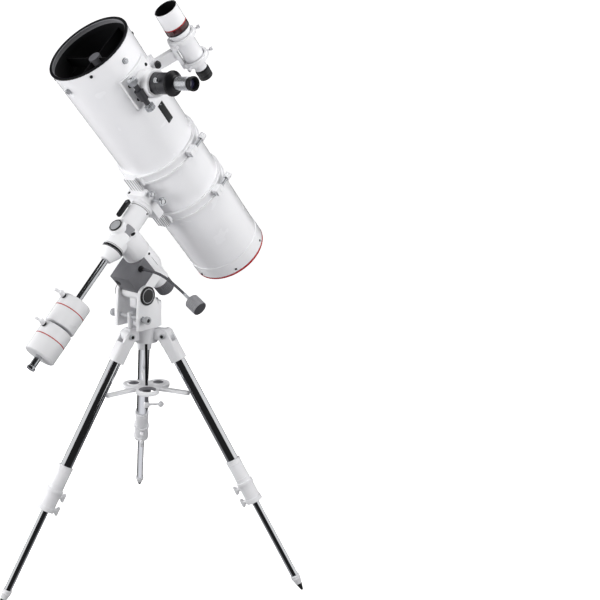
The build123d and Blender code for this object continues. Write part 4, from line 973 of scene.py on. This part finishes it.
# Clamping handle under the tray: washer, neck, acorn nut, and a lever with a ball
washer = turned(((526, 4.4), (526, 7), (530, 13), (540, 13), (540, 4.4)), 56, 1.0)
neck = cylinder(496, 527, 5.8, 40, 0.6, bore=4.4)
lever_hub = turned(((482, 4.4), (480, 7), (483, 8.6), (495, 8.6), (498, 6.4), (498, 4.4)), 48, 0.8)
acorn = turned(((476.2, 0), (477, 3), (481, 6.4), (483, 6.4), (483, 0)), 40, 0.6)
lever = turned(((0, 0), (0, 3.5), (34, 3.2), (34, 0)), 28)
half_circle = [radians(10 * i) for i in range(1, 18)]
ball = turned([(33, 0), *[(42 - 9 * cos(t), 9 * sin(t)) for t in half_circle], (51, 0)], 40)
arm = [laid(part, "x", (0, 0, 489)) for part in (lever, ball)]
handle_place = WORLD @ Matrix.Rotation(radians(-40), 4, "Z")
piece("spreader_handle_turned", "spreader_handle", "steel",
      (dark_powder, put(handle_place, washer, neck, acorn)),
      (grey_powder, put(handle_place, lever_hub, *arm)), replaces=["spreader_handle"])

# Pale round floor that curves up all round into a wall
FLOOR_STEPS = 72
cove = [(4.6 + 1.4 * sin(a * pi / 24), 1.4 - 1.4 * cos(a * pi / 24)) for a in range(13)]
sweep = [(0.5, 0), *cove, (6.0, 8)]
corners = [(r * cos(t * pi / 36), r * sin(t * pi / 36), up) for r, up in sweep for t in range(FLOOR_STEPS)]
cells = []
for inner in range(0, FLOOR_STEPS * (len(sweep) - 1), FLOOR_STEPS):
    outer = inner + FLOOR_STEPS
    for t in range(FLOOR_STEPS):
        after = (t + 1) % FLOOR_STEPS
        cells.append((inner + t, outer + t, outer + after, inner + after))
floor_mesh = bpy.data.meshes.new("studio_floor")
floor_mesh.from_pydata(corners, [], [tuple(range(FLOOR_STEPS)), *cells])
for face in floor_mesh.polygons:
    face.use_smooth = True
floor = shown("studio_floor", floor_mesh)
# Pale backdrop paper, lit from within so that it stays white in every view
floor_paper = finish_of("pale_backdrop_paper", "#f4f4f4", "#f1f1f1", 0.85, 0.05, 2.0, 0.02,
                        Emission_Color=linear("#ffffff"), Emission_Strength=0.95)
floor_mesh.materials.append(floor_paper)
floor.visible_diffuse = False
floor.visible_glossy = False
floor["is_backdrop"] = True


def softbox(name, across, back, up, target_up, wide, tall, power, shown_in="all"):
    """A soft light, placed as the camera sees it, for all surfaces, or for matt or polished ones only."""
    right = Vector((cos(CAMERA_TURN), sin(CAMERA_TURN), 0))
    away = Vector((-sin(CAMERA_TURN), cos(CAMERA_TURN), 0))
    place = right * across + away * back + Vector((0, 0, up))
    lamp = bpy.data.lights.new(name, "AREA")
    lamp.shape = "RECTANGLE"
    lamp.size = wide
    lamp.size_y = tall
    lamp.energy = power
    light = shown(name, lamp)
    light.location = place
    light.rotation_euler = (Vector((0, 0, target_up)) - place).to_track_quat("-Z", "Y").to_euler()
    light.visible_glossy = shown_in != "matt"
    light.visible_diffuse = shown_in != "polished"


# Soft studio light: boxes for paint and plastic, a box overhead, and two wide cards for polished metal
softbox("left_softbox", -2.5, -1.4, 1.05, 1.2, 2.0, 2.0, 68, "matt")
softbox("left_back_softbox", -2.3, 1.0, 1.3, 1.3, 2.0, 2.0, 60, "matt")
softbox("right_softbox", 2.5, -0.9, 2.2, 1.0, 1.8, 2.4, 25, "matt")
softbox("front_softbox", 2.0, -1.7, 1.5, 1.1, 1.0, 1.8, 36, "matt")
softbox("high_softbox", 0.2, -2.2, 3.0, 1.0, 2.0, 1.6, 20, "matt")
softbox("top_softbox", 0.3, 0.2, 3.6, 1.2, 2.2, 2.2, 34)
softbox("left_card", -2.8, 0, 1.2, 1.2, 5.4, 3.0, 42, "polished")
softbox("right_card", 2.8, 0, 1.2, 1.2, 5.4, 3.0, 42, "polished")

# A dark room, so that polished metal shows dark bands, with some light from the floor below
world = bpy.data.worlds.new("studio")
bpy.context.scene.world = world
world.use_nodes = True
room = world.node_tree
facing = add(room, "ShaderNodeTexCoord", {})
level = add(room, "ShaderNodeSeparateXYZ", {0: facing.outputs["Generated"]})
glow = add(room, "ShaderNodeMapRange", {0: level.outputs["Z"], 1: -0.95, 2: -0.5, 3: 1.0, 4: 0.02})
room.links.new(glow.outputs[0], room.nodes["Background"].inputs["Strength"])
room.nodes["Background"].inputs["Color"].default_value = linear("#f0f0f4")
bpy.context.scene.view_settings.view_transform = "Standard"

low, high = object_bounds()
